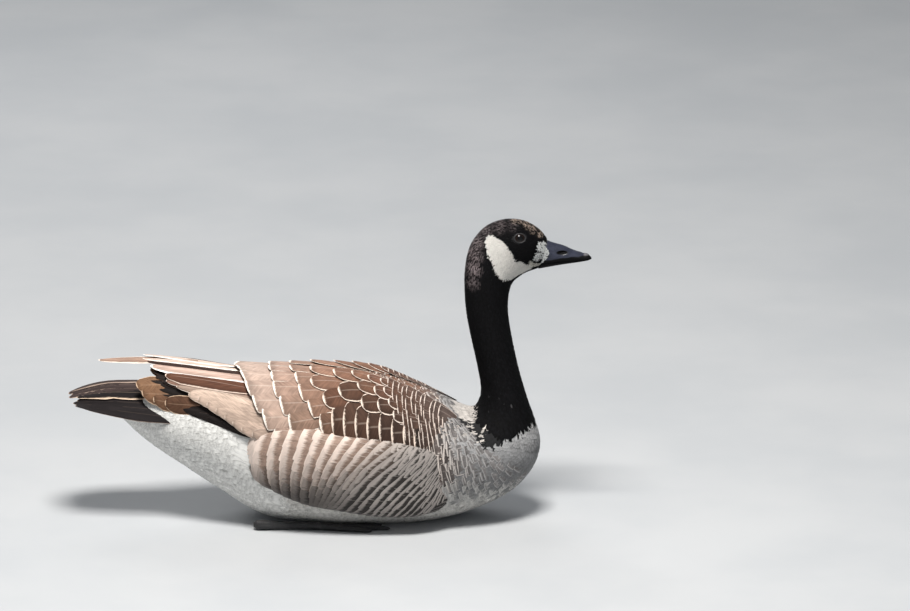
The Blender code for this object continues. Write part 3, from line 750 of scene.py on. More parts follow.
@dataclass(frozen=True)
class Markings:
    """Where the plumage's colours lie, by place on the bird, shared by the skin and the coat."""

    black: Colour = shade(10, 10, 12)
    worn_black: Colour = shade(124, 113, 114)
    cheek: Colour = shade(234, 231, 225)
    breast: Colour = shade(168, 168, 169)
    breast_trim: Colour = shade(184, 184, 184)
    mantle: Colour = shade(126, 94, 77)
    mantle_deep: Colour = shade(90, 74, 66)
    fringe: Colour = shade(222, 205, 190)
    white: Colour = shade(233, 232, 228)
    belly: Colour = shade(205, 203, 198)
    cream: Colour = shade(232, 208, 190)
    lone_speck: Colour = shade(92, 90, 92)
    pale_speck: Colour = shade(190, 184, 178)
    # the body's lore is painted lighter, and the tufts over the bill darker, to even out the light that falls on
    # them
    lore: Colour = shade(236, 238, 236)
    gape: Colour = shade(222, 218, 208)
    # where each colour starts and where it is full: x for the deep mantle, the breast, the belly's front
    # and the white rear, and height for the breast's painted shade, darker lower down, and the belly
    deep_along: tuple[float, float] = (0.03, 0.12)
    breast_along: tuple[float, float] = (0.135, 0.190)
    belly_along: tuple[float, float] = (0.25, 0.17)
    rear_along: tuple[float, float] = (-0.022, -0.038)
    painted_shade_down: tuple[float, float] = (0.132, 0.082)
    belly_down: tuple[float, float] = (0.060, 0.030)
    # the darkest and lightest that a colour gets
    limits: tuple[float, float] = (0.002, 0.9)
    # the white cheek patch as overlapping discs seen from the side: x, z, radius
    cheek_discs: tuple = (
        (0.2035, 0.3615, 0.0085),
        (0.2105, 0.3525, 0.0128),
        (0.2190, 0.3380, 0.0142),
        (0.2240, 0.3260, 0.0138),
        (0.2380, 0.3270, 0.0098),
        (0.2510, 0.3265, 0.0040),
    )
    lore_discs: tuple = (
        (0.2640, 0.3540, 0.0042), (0.2680, 0.3495, 0.0072), (0.2655, 0.3430, 0.0070), (0.2600, 0.3375, 0.0036),
    )
    gape_discs: tuple = ((0.2535, 0.3335, 0.0028), (0.2560, 0.3300, 0.0022), (0.2630, 0.3290, 0.0018))
    # pale patches of worn feathers, partly painted light where the light falls on the nape and crown: x, z,
    # radius, share of the feathers
    worn_and_lit_discs: tuple = (
        (0.1850, 0.3600, 0.0120, 0.70), (0.1810, 0.3450, 0.0150, 0.95), (0.1800, 0.3280, 0.0140, 0.95),
        (0.1790, 0.3120, 0.0110, 0.55), (0.1960, 0.3740, 0.0110, 0.55), (0.2130, 0.3810, 0.0120, 0.45),
        (0.2300, 0.3800, 0.0090, 0.28),
    )
    cream_discs: tuple = (
        (0.2330, 0.3860, 0.0050, 0.9), (0.2400, 0.3850, 0.0045, 0.8), (0.2480, 0.3795, 0.0055, 0.9),
        (0.2560, 0.3740, 0.0058, 0.85), (0.2650, 0.3675, 0.0055, 0.8),
    )
    # the black neck's lower border: x, z
    border: tuple = (
        (0.1660, 0.150), (0.1690, 0.130), (0.1836, 0.1235), (0.1960, 0.1164), (0.2064, 0.1110),
        (0.2168, 0.1150), (0.2269, 0.1176), (0.2416, 0.1225), (0.2570, 0.1275), (0.2700, 0.1300),
    )

    @staticmethod
    def inside(x: Array, z: Array, discs: tuple) -> Array:
        """How deep places lie inside a chain of discs, in metres, less than 0 outside.

        Args:
            x: Places along.
            z: Heights.
            discs: Each disc's x, z and radius.

        Returns:
            Depths.
        """
        rows = np.array(discs)
        deep = np.full(np.shape(x), -1.0)
        for (x0, z0, r0), (x1, z1, r1) in zip(rows[:-1], rows[1:]):
            span = np.array([x1 - x0, z1 - z0])
            t = np.clip(((x - x0) * span[0] + (z - z0) * span[1]) / (span @ span), 0, 1)
            away = np.hypot(x - x0 - span[0] * t, z - z0 - span[1] * t)
            deep = np.maximum(deep, r0 + (r1 - r0) * t - away)
        return deep

    @staticmethod
    def patches(x: Array, z: Array, discs: tuple) -> Array:
        """The greatest share that any of some soft round patches gives each place."""
        shares = [share * step(1.15 * r, 0.2 * r, np.hypot(x - cx, z - cz)) for cx, cz, r, share in discs]
        return np.max(shares, axis=0)

    def read(self, place: Array, rng: np.random.Generator, jitter: float = 1.0) -> dict[str, Array]:
        """The plumage at places on the body.

        Args:
            place: Places in metres.
            rng: Source of each feather's own difference.
            jitter: How ragged the borders are, 0 for none.

        Returns:
            Plume colour, fringe colour, fringe size in metres and the fringe's softness.
        """
        x, z = place[..., 0], place[..., 2]
        n = x.shape
        one, two, three = (rng.standard_normal(n) * jitter for _ in range(3))
        pick, tone = rng.random(n), rng.random(n)[..., None]

        def blend(low: Array, high: Colour | Array, share: Array) -> Array:
            """A mix of two colours by each place's share of the second."""
            return low + (np.asarray(high) - low) * share[..., None]

        plume = np.broadcast_to(np.array(self.mantle), n + (3,)).copy()
        trim = np.broadcast_to(np.array(self.fringe), n + (3,)).copy()
        size, soft = np.full(n, 0.0014), np.full(n, 0.7)
        plume = blend(plume, self.mantle_deep, step(*self.deep_along, x) * 0.8)
        bent = x + 0.006 * one + 0.30 * (0.095 - z).clip(0, 0.08) - 0.9 * (z - 0.115).clip(0, 0.03)
        front = step(*self.breast_along, bent)
        plume = blend(plume, self.breast, front)
        trim = blend(trim, self.breast_trim, front)
        # painted shade: the breast darkens lower down, in the shade under the light from above
        painted_shade = 1 - 0.52 * step(*self.painted_shade_down, z + 0.003 * two) * front
        plume, trim = plume * painted_shade[..., None], trim * painted_shade[..., None]
        low = step(*self.belly_down, z + 0.004 * one) * step(*self.belly_along, x)
        plume = blend(plume, self.belly, low)
        trim = blend(trim, self.belly, low)
        rear = step(*self.rear_along, x + 0.002 * one)
        plume = blend(plume, self.white, rear)
        trim = blend(trim, self.white, rear)
        soft = np.where(front > 0.3, 1.6, soft)
        # the black neck and head
        rows = np.array(self.border)
        line = np.interp(x, rows[:, 0], rows[:, 1], left=1.0) + 0.0022 * two
        black = z > line
        pale_band = (x > 0.158) & (x < 0.186 + 0.002 * one) & (z > 0.1335) & (z < 0.1475)
        speck = black & (x < 0.202) & (z < 0.134) & (pick < 0.38)
        lone = black & (x > 0.19) & (x < 0.235) & (z < 0.175) & (pick < 0.008)
        dark = np.asarray(self.black) * (1 + 0.25 * three[..., None].clip(-1.5, 2.5))
        # pale worn feathers on the nape and crown, partly painted light where the light falls there
        worn_and_lit_tone = np.asarray(self.worn_black) * (0.10 + 1.70 * tone**1.4)
        dark = blend(dark, worn_and_lit_tone, self.patches(x, z, self.worn_and_lit_discs) * (pick < 0.78))
        cream = np.asarray(self.cream) * (0.20 + 0.85 * tone)
        dark = blend(dark, cream, self.patches(x, z, self.cream_discs) * (pick < 0.42))
        dark = np.where(lone[..., None], np.asarray(self.lone_speck) * tone, dark)
        plume = np.where(black[..., None], dark, plume)
        trim = np.where(black[..., None], dark * 1.15 + 0.002, trim)
        size = np.where(black, 0.0004, size)
        pale = np.asarray(self.pale_speck) * (0.8 + 0.3 * tone)
        where = (pale_band | speck)[..., None]
        plume, trim = np.where(where, pale, plume), np.where(where, pale * 1.1, trim)
        # the white cheek, and the pale speckled patches by the bill
        cheek = (self.inside(x + 0.0007 * one, z + 0.0007 * two, self.cheek_discs) > 0) & (x > 0.19)
        lore = (self.inside(x + 0.0008 * one, z + 0.0008 * two, self.lore_discs) > 0) & (pick < 0.82)
        gape = (self.inside(x + 0.0006 * one, z + 0.0006 * two, self.gape_discs) > 0) & (pick < 0.75)
        dirty = 1 - 0.10 * tone - 0.12 * (pick < 0.10)[..., None]
        for where, tint in ((cheek, self.cheek), (lore, self.lore), (gape, self.gape)):
            plume = np.where(where[..., None], np.asarray(tint) * dirty, plume)
            trim = np.where(where[..., None], np.asarray(tint) * dirty, trim)
        vary = 1 + (0.06 - 0.045 * rear)[..., None] * three[..., None].clip(-2, 2)
        plume, trim = (plume * vary).clip(*self.limits), trim.clip(*self.limits)
        return {"plume": plume, "trim": trim, "size": size, "soft": soft}


# Finishes


class Tree:
    """A node tree under construction."""

    def __init__(self, tree: bpy.types.NodeTree) -> None:
        """Starts on a tree."""
        self.tree = tree

    def node(self, kind: str, settings: dict[str, Any] | None = None, **inputs: Any) -> bpy.types.Node:
        """Adds a node.

        Args:
            kind: Its type, without the ShaderNode in front.
            settings: Its properties.
            inputs: Its sockets by name, or in0, in1 ... by number, each a value or an output socket.

        Returns:
            The node.
        """
        made = self.tree.nodes.new("ShaderNode" + kind)
        for key, value in (settings or {}).items():
            setattr(made, key, value)
        self.feed(made, **inputs)
        return made

    def feed(self, node: bpy.types.Node, **inputs: Any) -> None:
        """Sets or links a node's sockets, given as in node().

        Args:
            node: The node.
            inputs: Each socket's value or the output socket it takes.
        """
        for key, value in inputs.items():
            numbered = key[:2] == "in" and key[2:].isdigit()
            slot = node.inputs[int(key[2:]) if numbered else key.replace("_", " ")]
            if isinstance(value, Socket):
                self.tree.links.new(value, slot)
            else:
                solid = isinstance(value, tuple) and slot.type == "RGBA"
                slot.default_value = (*value, 1.0) if solid else value

    def math(self, what: str, *values: Any) -> Socket:
        """The result of a Math node."""
        inputs = {f"in{k}": value for k, value in enumerate(values)}
        return self.node("Math", {"operation": what}, **inputs).outputs[0]

    def times(self, a: Any, b: Any) -> Socket:
        """The product of two values."""
        return self.math("MULTIPLY", a, b)

    def plus(self, a: Any, b: Any) -> Socket:
        """The sum of two values."""
        return self.math("ADD", a, b)

    def minus(self, a: Any, b: Any) -> Socket:
        """The first value less the second."""
        return self.math("SUBTRACT", a, b)

    def ramp(self, value: Any, low: float, high: float, to_low: float = 0.0, to_high: float = 1.0) -> Socket:
        """A smooth Map Range between two values.

        Args:
            value: What is read.
            low: Where the ramp starts.
            high: Where it ends.
            to_low: Its value at the start.
            to_high: Its value at the end.

        Returns:
            The ramp's value.
        """
        settings = {"interpolation_type": "SMOOTHSTEP"}
        inputs = {"in0": value, "in1": low, "in2": high, "in3": to_low, "in4": to_high}
        return self.node("MapRange", settings, **inputs).outputs[0]

    def mix(self, share: Any, low: Any, high: Any, how: str = "MIX") -> Socket:
        """A colour mix."""
        made = self.node("Mix", {"data_type": "RGBA", "blend_type": how}, in0=share, in6=low, in7=high)
        return made.outputs[2]

    def noise(self, vector: Any, scale: float, detail: float = 3.0, rough: float = 0.5) -> Socket:
        """Noise of one value on a vector."""
        made = self.node("TexNoise", None, Vector=vector, Scale=scale, Detail=detail, Roughness=rough)
        return made.outputs["Fac"]

    def vector(self, x: Any, y: Any, z: Any) -> Socket:
        """A vector of three values."""
        return self.node("CombineXYZ", None, X=x, Y=y, Z=z).outputs[0]

    def object_place(self) -> Socket:
        """The object's own coordinates."""
        return self.node("TexCoord").outputs["Object"]


def shader_group(name: str, ins: dict[str, Any], outs: dict[str, str]) -> tuple[Tree, Any, bpy.types.Node]:
    """A new shader node group.

    Args:
        name: Its name.
        ins: Each input's value, a number or a colour.
        outs: Each output's kind.

    Returns:
        Its tree, its input node's sockets and its output node.
    """
    group = bpy.data.node_groups.new(name, "ShaderNodeTree")
    for key, value in ins.items():
        kind = "NodeSocketColor" if isinstance(value, tuple) else "NodeSocketFloat"
        group.interface.new_socket(key, in_out="INPUT", socket_type=kind).default_value = value
    for key, kind in outs.items():
        group.interface.new_socket(key, in_out="OUTPUT", socket_type="NodeSocket" + kind)
    inward, outward = group.nodes.new("NodeGroupInput"), group.nodes.new("NodeGroupOutput")
    return Tree(group), inward.outputs, outward


def new_material(name: str) -> tuple[Material, Tree, bpy.types.Node]:
    """A new material with its tree and its shader.

    Args:
        name: Its name.

    Returns:
        The material, its tree and its shader node.
    """
    made = bpy.data.materials.new(name)
    made.use_nodes = True
    return made, Tree(made.node_tree), made.node_tree.nodes["Principled BSDF"]


def vane_group() -> bpy.types.NodeTree:
    """The pattern of one feather: its colour with fringe, shaft and barbs, and its relief.

    Returns:
        The node group.
    """
    grey = (0.5, 0.5, 0.5, 1.0)
    ins = {
        "Plume": grey, "Trim": grey, "Side": 0.2, "Tip": 0.1, "Seed": 0.0, "Softness": 0.7, "Across": 0.5,
        "Along": 0.5, "Barbs": 30.0, "Strands": 12.0, "Downy": 0.0, "Shaft": 0.4, "Ragged": 2.0,
        "Contrast": 1.0,
    }
    tree, given, out = shader_group("feather_vane", ins, {"Colour": "Color", "Height": "Float"})
    aside = tree.math("ABSOLUTE", tree.minus(tree.times(given["Across"], 2.0), 1.0))
    barb_place = tree.minus(given["Along"], tree.times(aside, 0.22))
    seed = tree.times(given["Seed"], 91.0)
    # fine lines across for the barbs, lines along for down, and clouds
    scales = (
        (barb_place, given["Barbs"], 2.2), (given["Along"], 2.2, given["Strands"]), (given["Along"], 4.0, 3.0),
    )
    fine, strand, coarse = (
        tree.vector(tree.times(along, often), tree.times(given["Across"], wide), seed)
        for along, often, wide in scales
    )
    barbs, strands = (tree.noise(vector, 1.0, 3.0, 0.6) for vector in (fine, strand))
    clouds = tree.noise(coarse, 1.0, 2.0)
    keep = tree.minus(1.0, given["Downy"])
    streaks = tree.plus(tree.times(barbs, keep), tree.times(strands, given["Downy"]))
    side = tree.plus(tree.math("DIVIDE", tree.minus(aside, 1.0), given["Side"]), 1.0)
    tip = tree.plus(tree.math("DIVIDE", tree.minus(given["Along"], 1.0), given["Tip"]), 1.0)
    bare_edge = tree.math("MAXIMUM", side, tip)
    edge = tree.plus(bare_edge, tree.times(tree.minus(streaks, 0.5), given["Ragged"]))
    soft = given["Softness"]
    fringe = tree.node(
        "MapRange", {"interpolation_type": "SMOOTHSTEP"}, in0=edge, in1=tree.times(soft, -1.0), in2=soft
    ).outputs[0]
    deep = tree.times(tree.ramp(bare_edge, -4.5, 0.0), 0.28)
    plume = tree.mix(deep, given["Plume"], (0.0, 0.0, 0.0))
    tone = tree.plus(tree.times(tree.minus(streaks, 0.5), 1.3),
                     tree.times(tree.minus(clouds, 0.5), 0.9))
    tone = tree.plus(tree.times(tone, given["Contrast"]), 1.0)
    tone = tree.vector(tone, tone, tone)
    plume = tree.mix(1.0, plume, tone, "MULTIPLY")
    shaft = tree.times(tree.ramp(aside, 0.07, 0.02), tree.ramp(given["Along"], 0.97, 0.85))
    shaft = tree.times(shaft, given["Shaft"])
    plume = tree.mix(shaft, plume, given["Trim"])
    colour = tree.mix(fringe, plume, given["Trim"])
    height = tree.plus(tree.times(streaks, 0.8), shaft)
    tree.feed(out, Colour=colour, Height=height)
    return tree.tree


@dataclass(frozen=True)
class VaneFinish:
    """A plumage material read from the feathers' own maps and attributes."""

    name: str
    group: bpy.types.NodeTree
    barbs: float
    shaft: float
    roughness: float
    sheen: float
    relief: float
    strands: float = 12.0
    downy: float = 0.0
    ragged: float = 2.0
    contrast: float = 1.0
    specular: float = 0.3

    def material(self) -> Material:
        """The finish as a material.

        Returns:
            The material.
        """
        made, tree, shader = new_material(self.name)
        across = tree.node("SeparateXYZ", None, in0=tree.node("UVMap", {"uv_map": "Vane"}).outputs[0])
        keys = ("plume", "trim", "trim_data")
        plume, trim, data = (tree.node("Attribute", {"attribute_name": key}) for key in keys)
        parts = tree.node("SeparateColor", None, in0=data.outputs["Color"])
        vane = tree.node(
            "Group", {"node_tree": self.group}, Plume=plume.outputs["Color"], Trim=trim.outputs["Color"],
            Side=parts.outputs[0], Tip=parts.outputs[1], Seed=parts.outputs[2], Softness=data.outputs["Alpha"],
            Across=across.outputs[0], Along=across.outputs[1], Barbs=self.barbs, Strands=self.strands,
            Downy=self.downy, Shaft=self.shaft, Ragged=self.ragged, Contrast=self.contrast,
        )
        bump = tree.node("Bump", None, Strength=0.7, Distance=self.relief, Height=vane.outputs["Height"])
        rough = tree.plus(tree.times(vane.outputs["Height"], 0.12), self.roughness)
        tree.feed(
            shader, Base_Color=vane.outputs["Colour"], Normal=bump.outputs[0], Roughness=rough,
            Specular_IOR_Level=self.specular, Sheen_Weight=self.sheen, Sheen_Roughness=0.5,
        )
        return made


@dataclass(frozen=True)
class PlainFinish:
    """A material of two tones mottled by noise, with relief, for skin, horn and lids."""

    name: str
    low: Colour
    high: Colour
    scale: float
    roughness: float
    relief: float
    cells: float = 0.0
    attribute: str = ""

    def material(self) -> Material:
        """The finish as a material.

        Returns:
            The material.
        """
        made, tree, shader = new_material(self.name)
        mottle = tree.noise(tree.object_place(), self.scale, 5.0, 0.6)
        colour = tree.mix(tree.ramp(mottle, 0.3, 0.7), self.low, self.high)
        if self.attribute:
            plume = tree.node("Attribute", {"attribute_name": self.attribute}).outputs["Color"]
            colour = tree.mix(1.0, plume, colour, "MULTIPLY")
        height = mottle
        if self.cells:
            settings = {"feature": "DISTANCE_TO_EDGE"}
            cell = tree.node("TexVoronoi", settings, Vector=tree.object_place(), Scale=self.cells)
            edges = tree.ramp(cell.outputs[0], 0.0, 0.12)
            height = tree.plus(edges, tree.times(mottle, 0.3))
            colour = tree.mix(tree.times(tree.minus(1.0, edges), 0.6), colour, (0.004, 0.004, 0.004))
        bump = tree.node("Bump", None, Strength=0.7, Distance=self.relief, Height=height)
        rough = tree.ramp(mottle, 0.2, 0.8, self.roughness - 0.08, self.roughness + 0.08)
        tree.feed(shader, Base_Color=colour, Normal=bump.outputs[0], Roughness=rough)
        return made


@dataclass(frozen=True)
class BillFinish:
    """Bill horn: black, with a slate painted reflection on its upper surfaces, black below, along the cutting
    edges and at the nail, and painted shade in the nostrils.
    """

    name: str
    nostril: tuple[float, float]
    nostril_radii: tuple[float, float]

    def material(self) -> Material:
        """The finish as a material.

        Returns:
            The material.
        """
        made, tree, shader = new_material(self.name)
        place = tree.object_place()
        x, _, z = tree.node("SeparateXYZ", None, in0=place).outputs
        stretched = tree.node("Mapping", None, Vector=place, Scale=(0.3, 1.0, 1.0)).outputs[0]
        grain = tree.noise(stretched, 420.0, 4.0, 0.6)
        cloud = tree.noise(place, 110.0, 3.0)
        # painted reflection: the light's sheen on the black horn's upper surfaces, painted as slate above the
        # border
        painted_sky_reflection = tree.mix(cloud, shade(26, 28, 37), shade(56, 59, 74))
        border = tree.math("MULTIPLY_ADD", tree.minus(x, 0.2700), 0.085, 0.3350)
        above = tree.minus(z, tree.math("MULTIPLY_ADD", tree.minus(cloud, 0.5), 0.004, border))
        upper = tree.ramp(above, -0.0004, 0.0012)
        colour = tree.mix(upper, shade(3, 3, 4), painted_sky_reflection)
        nail = tree.ramp(x, 0.3165, 0.3190)
        nail_tone = tree.mix(tree.ramp(z, 0.3385, 0.3402), shade(8, 8, 9), shade(96, 95, 98))
        colour = tree.mix(nail, colour, nail_tone)
        off_x, off_z = (
            tree.math("POWER", tree.math("DIVIDE", tree.minus(at, middle), radius), 2.0)
            for at, middle, radius in zip((x, z), self.nostril, self.nostril_radii)
        )
        # painted shade: the nostrils' depth painted black
        nostril_painted_shade = tree.ramp(tree.plus(off_x, off_z), 2.5, 1.5)
        colour = tree.mix(nostril_painted_shade, colour, shade(3, 3, 4))
        bump = tree.node("Bump", None, Strength=0.6, Distance=0.0002, Height=grain)
        shiny = tree.times(upper, tree.minus(1.0, nostril_painted_shade))
        rough = tree.plus(tree.ramp(grain, 0.2, 0.8, 0.22, 0.34), tree.ramp(shiny, 1.0, 0.0, 0.0, 0.38))
        tree.feed(
            shader, Base_Color=colour, Normal=bump.outputs[0], Roughness=rough, Specular_IOR_Level=0.12,
            Coat_Weight=tree.times(shiny, 0.6), Coat_Roughness=0.18,
        )
        return made


@dataclass(frozen=True)
class EyeFinish:
    """A glossy dark eye: a black pupil, a deep brown iris with fine rays, and a clear coat."""

    name: str
    centre: tuple[float, float, float]
    facing: tuple[float, float, float]
    radius: float
    pupil: float = 0.0036
    iris: float = 0.0060

    def material(self) -> Material:
        """The finish as a material.

        Returns:
            The material.
        """
        made, tree, shader = new_material(self.name)
        place = tree.object_place()
        off = tree.node("VectorMath", {"operation": "SUBTRACT"}, in0=place, in1=self.centre).outputs[0]
        ahead = tree.node("VectorMath", {"operation": "DOT_PRODUCT"}, in0=off, in1=self.facing).outputs["Value"]
        from_axis = tree.math(
            "SQRT", tree.math("MAXIMUM", tree.minus(self.radius**2, tree.math("POWER", ahead, 2.0)), 0.0)
        )
        rays = tree.noise(place, 900.0, 2.0)
        brown = tree.mix(rays, shade(16, 11, 9), shade(34, 23, 18))
        colour = tree.mix(tree.ramp(from_axis, self.pupil - 0.0002, self.pupil + 0.0003), shade(4, 4, 5), brown)
        colour = tree.mix(tree.ramp(from_axis, self.iris - 0.0004, self.iris + 0.0004), colour, shade(12, 9, 8))
        tree.feed(
            shader, Base_Color=colour, Roughness=0.3, Specular_IOR_Level=0.1, Coat_Weight=0.45,
            Coat_Roughness=0.02,
        )
        return made


# Modelling by operators


def deselect() -> None:
    """Leaves object mode with nothing selected."""
    if bpy.context.object and bpy.context.object.mode != "OBJECT":
        bpy.ops.object.mode_set(mode="OBJECT")
    bpy.ops.object.select_all(action="DESELECT")


def activate(piece: Piece) -> None:
    """Makes a piece the only selected and the active object.

    Args:
        piece: The piece.
    """
    deselect()
    piece.select_set(True)
    bpy.context.view_layer.objects.active = piece


def corner_places(mesh: bpy.types.Mesh) -> Array:
    """The places of a mesh's corners.

    Args:
        mesh: The mesh.

    Returns:
        One row for each corner.
    """
    places = np.empty(len(mesh.vertices) * 3)
    mesh.vertices.foreach_get("co", places)
    return places.reshape(-1, 3)


def extruded_tube(name: str, sides: int, place: Callable[[Array, Array], Array], levels: int) -> Piece:
    """A closed form drawn out of a filled circle, level by level, and shaped by a function.

    Args:
        name: The piece's name.
        sides: Corners round the circle.
        place: The place of each corner, from its share of the length and its share of the turn.
        levels: Rings along the form.

    Returns:
        The object.
    """
    deselect()
    bpy.ops.mesh.primitive_circle_add(vertices=sides, radius=1.0, fill_type="NGON", location=(0, 0, 0))
    made = bpy.context.object
    made.name = name
    bpy.ops.object.mode_set(mode="EDIT")
    bpy.ops.mesh.select_all(action="SELECT")
    for _ in range(levels - 1):
        bpy.ops.mesh.extrude_region_move(TRANSFORM_OT_translate={"value": (0, 0, 1)})
    bpy.ops.object.mode_set(mode="OBJECT")
    co = corner_places(made.data)
    turn = np.mod(np.round(np.arctan2(co[:, 0], co[:, 1]) / (2 * np.pi) * sides), sides) / sides
    shaped = place(np.round(co[:, 2]) / (levels - 1), turn)
    made.data.vertices.foreach_set("co", shaped.ravel())
    made.data.update()
    bm = bmesh.new()
    bm.from_mesh(made.data)
    bmesh.ops.recalc_face_normals(bm, faces=bm.faces)
    if bm.calc_volume(signed=True) < 0:
        bmesh.ops.reverse_faces(bm, faces=bm.faces)
    bm.to_mesh(made.data)
    bm.free()
    return made


def apply_modifier(piece: Piece, kind: str, **settings: Any) -> None:
    """Adds a modifier to a piece and applies it.

    Args:
        piece: The piece.
        kind: The modifier's type.
        settings: Its properties.
    """
    activate(piece)
    made = piece.modifiers.new(kind.lower(), kind)
    for key, value in settings.items():
        setattr(made, key, value)
    bpy.ops.object.modifier_apply(modifier=made.name)


def settle(piece: Piece, finish: Material) -> None:
    """Puts a piece's place into its mesh, smooths its shading and dresses it.

    Args:
        piece: The piece.
        finish: Its material.
    """
    activate(piece)
    bpy.ops.object.transform_apply(location=True, rotation=True, scale=True)
    bpy.ops.object.shade_smooth()
    piece.data.materials.clear()
    piece.data.materials.append(finish)
    piece.select_set(False)


def stand_for(piece: Piece, slot: str, *nodes: str) -> None:
    """Rides a piece on the body and says which solids it stands for.

    Args:
        piece: The piece.
        slot: Its finish slot, not used.
        nodes: The solids that it takes the place of.
    """
    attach(piece, "root")
    if nodes:
        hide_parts(*nodes)
    LOG.info("%s: %d faces", piece.name, len(piece.data.polygons))


# The bird


@dataclass
class Skin:
    """One seamless skin under the feathers, from the undertail to the bill, with flanks and wing masses."""

    body: BodySurface
    markings: Markings
    voxel: float = 0.0030
    depth: float = 0.0028
    face_depth: float = 0.0009

    def build(self) -> None:
        """Draws out each mass, joins them and wraps them in one surface."""

        def trunk(share: Array, turn: Array) -> Array:
            """A place on the trunk, neck and head, under the coat.

            Args:
                share: From the undertail to the bill.
                turn: Round the section.

            Returns:
                Places.
            """
            p = share * self.body.last
            depths = [self.depth, self.depth, 0.0018, 0.0014, self.face_depth, 0.0006]
            inset = np.interp(p, [0, 12, 15, 20, 22, 26], depths)
            return self.body.point(p, turn, -inset)

        parts = [extruded_tube("skin", 56, trunk, 131)]
        for side in Side:
            flank, wing = FlankSurface(side), WingSurface(side)
            for sides, place in (
                (32, lambda s, t, f=flank: f.point(-0.099 + 0.267 * s, t, -0.0035)),
                (40, lambda s, t, w=wing: self.wing_mass(w, s, t)),
            ):
                parts.append(extruded_tube("mass", sides, place, 44))
        deselect()
        for part in parts:
            part.select_set(True)
        skin = parts[0]
        bpy.context.view_layer.objects.active = skin
        bpy.ops.object.join()
        apply_modifier(skin, "REMESH", mode="VOXEL", voxel_size=self.voxel, adaptivity=0.0)
        apply_modifier(skin, "SMOOTH", factor=0.5, iterations=6)
        co = corner_places(skin.data)
        co[:, 2] = np.maximum(co[:, 2], 0.0)
        skin.data.vertices.foreach_set("co", co.ravel())
        tint = self.markings.read(co, Draws.SKIN.stream(), 0.0)["plume"]
        attribute = skin.data.attributes.new("plume", "FLOAT_COLOR", "POINT")
        colours = np.concatenate([tint * 0.8, np.ones((len(co), 1))], axis=1)
        attribute.data.foreach_set("color", colours.astype(np.float32).ravel())
        finish = PlainFinish("skin_under_plumage", (0.7,) * 3, WHITE, 160.0, 0.85, 0.0004, attribute="plume")
        settle(skin, finish.material())
        stand_for(skin, "body_plumage", "undertail", "torso", "neck", "head")

    @staticmethod
    def wing_mass(wing: WingSurface, share: Array, turn: Array) -> Array:
        """The place of a corner of the folded wing's own mass.

        Args:
            wing: The wing's surface.
            share: From its front to its rear.
            turn: Round the section.

        Returns:
            Places.
        """
        x = 0.143 - 0.278 * share
        rear = np.clip((-0.075 - x) / 0.060, 0, 1)
        over = turn < 0.5
        t = np.where(over, turn * 2, (1 - turn) * 2)
        t = np.clip(t, 0.02, 0.98)
        outer = -0.0055 - 0.0060 * rear
        place = wing.point(x, t, np.where(over, outer, -0.024))
        sign = wing.side.value
        place[:, 1] = sign * np.maximum(sign * place[:, 1], 0.002)
        return place


@dataclass(frozen=True)
class CoatPatch:
    """One piece of the coat: its stations, the vane's form and its proportions to the spacing."""

    name: str
    form: VaneForm
    start: float
    end: float
    long: float
    wide: float
    root_lift: float
    tip_lift: float
    slot: str
    ragged: float
    stray: float


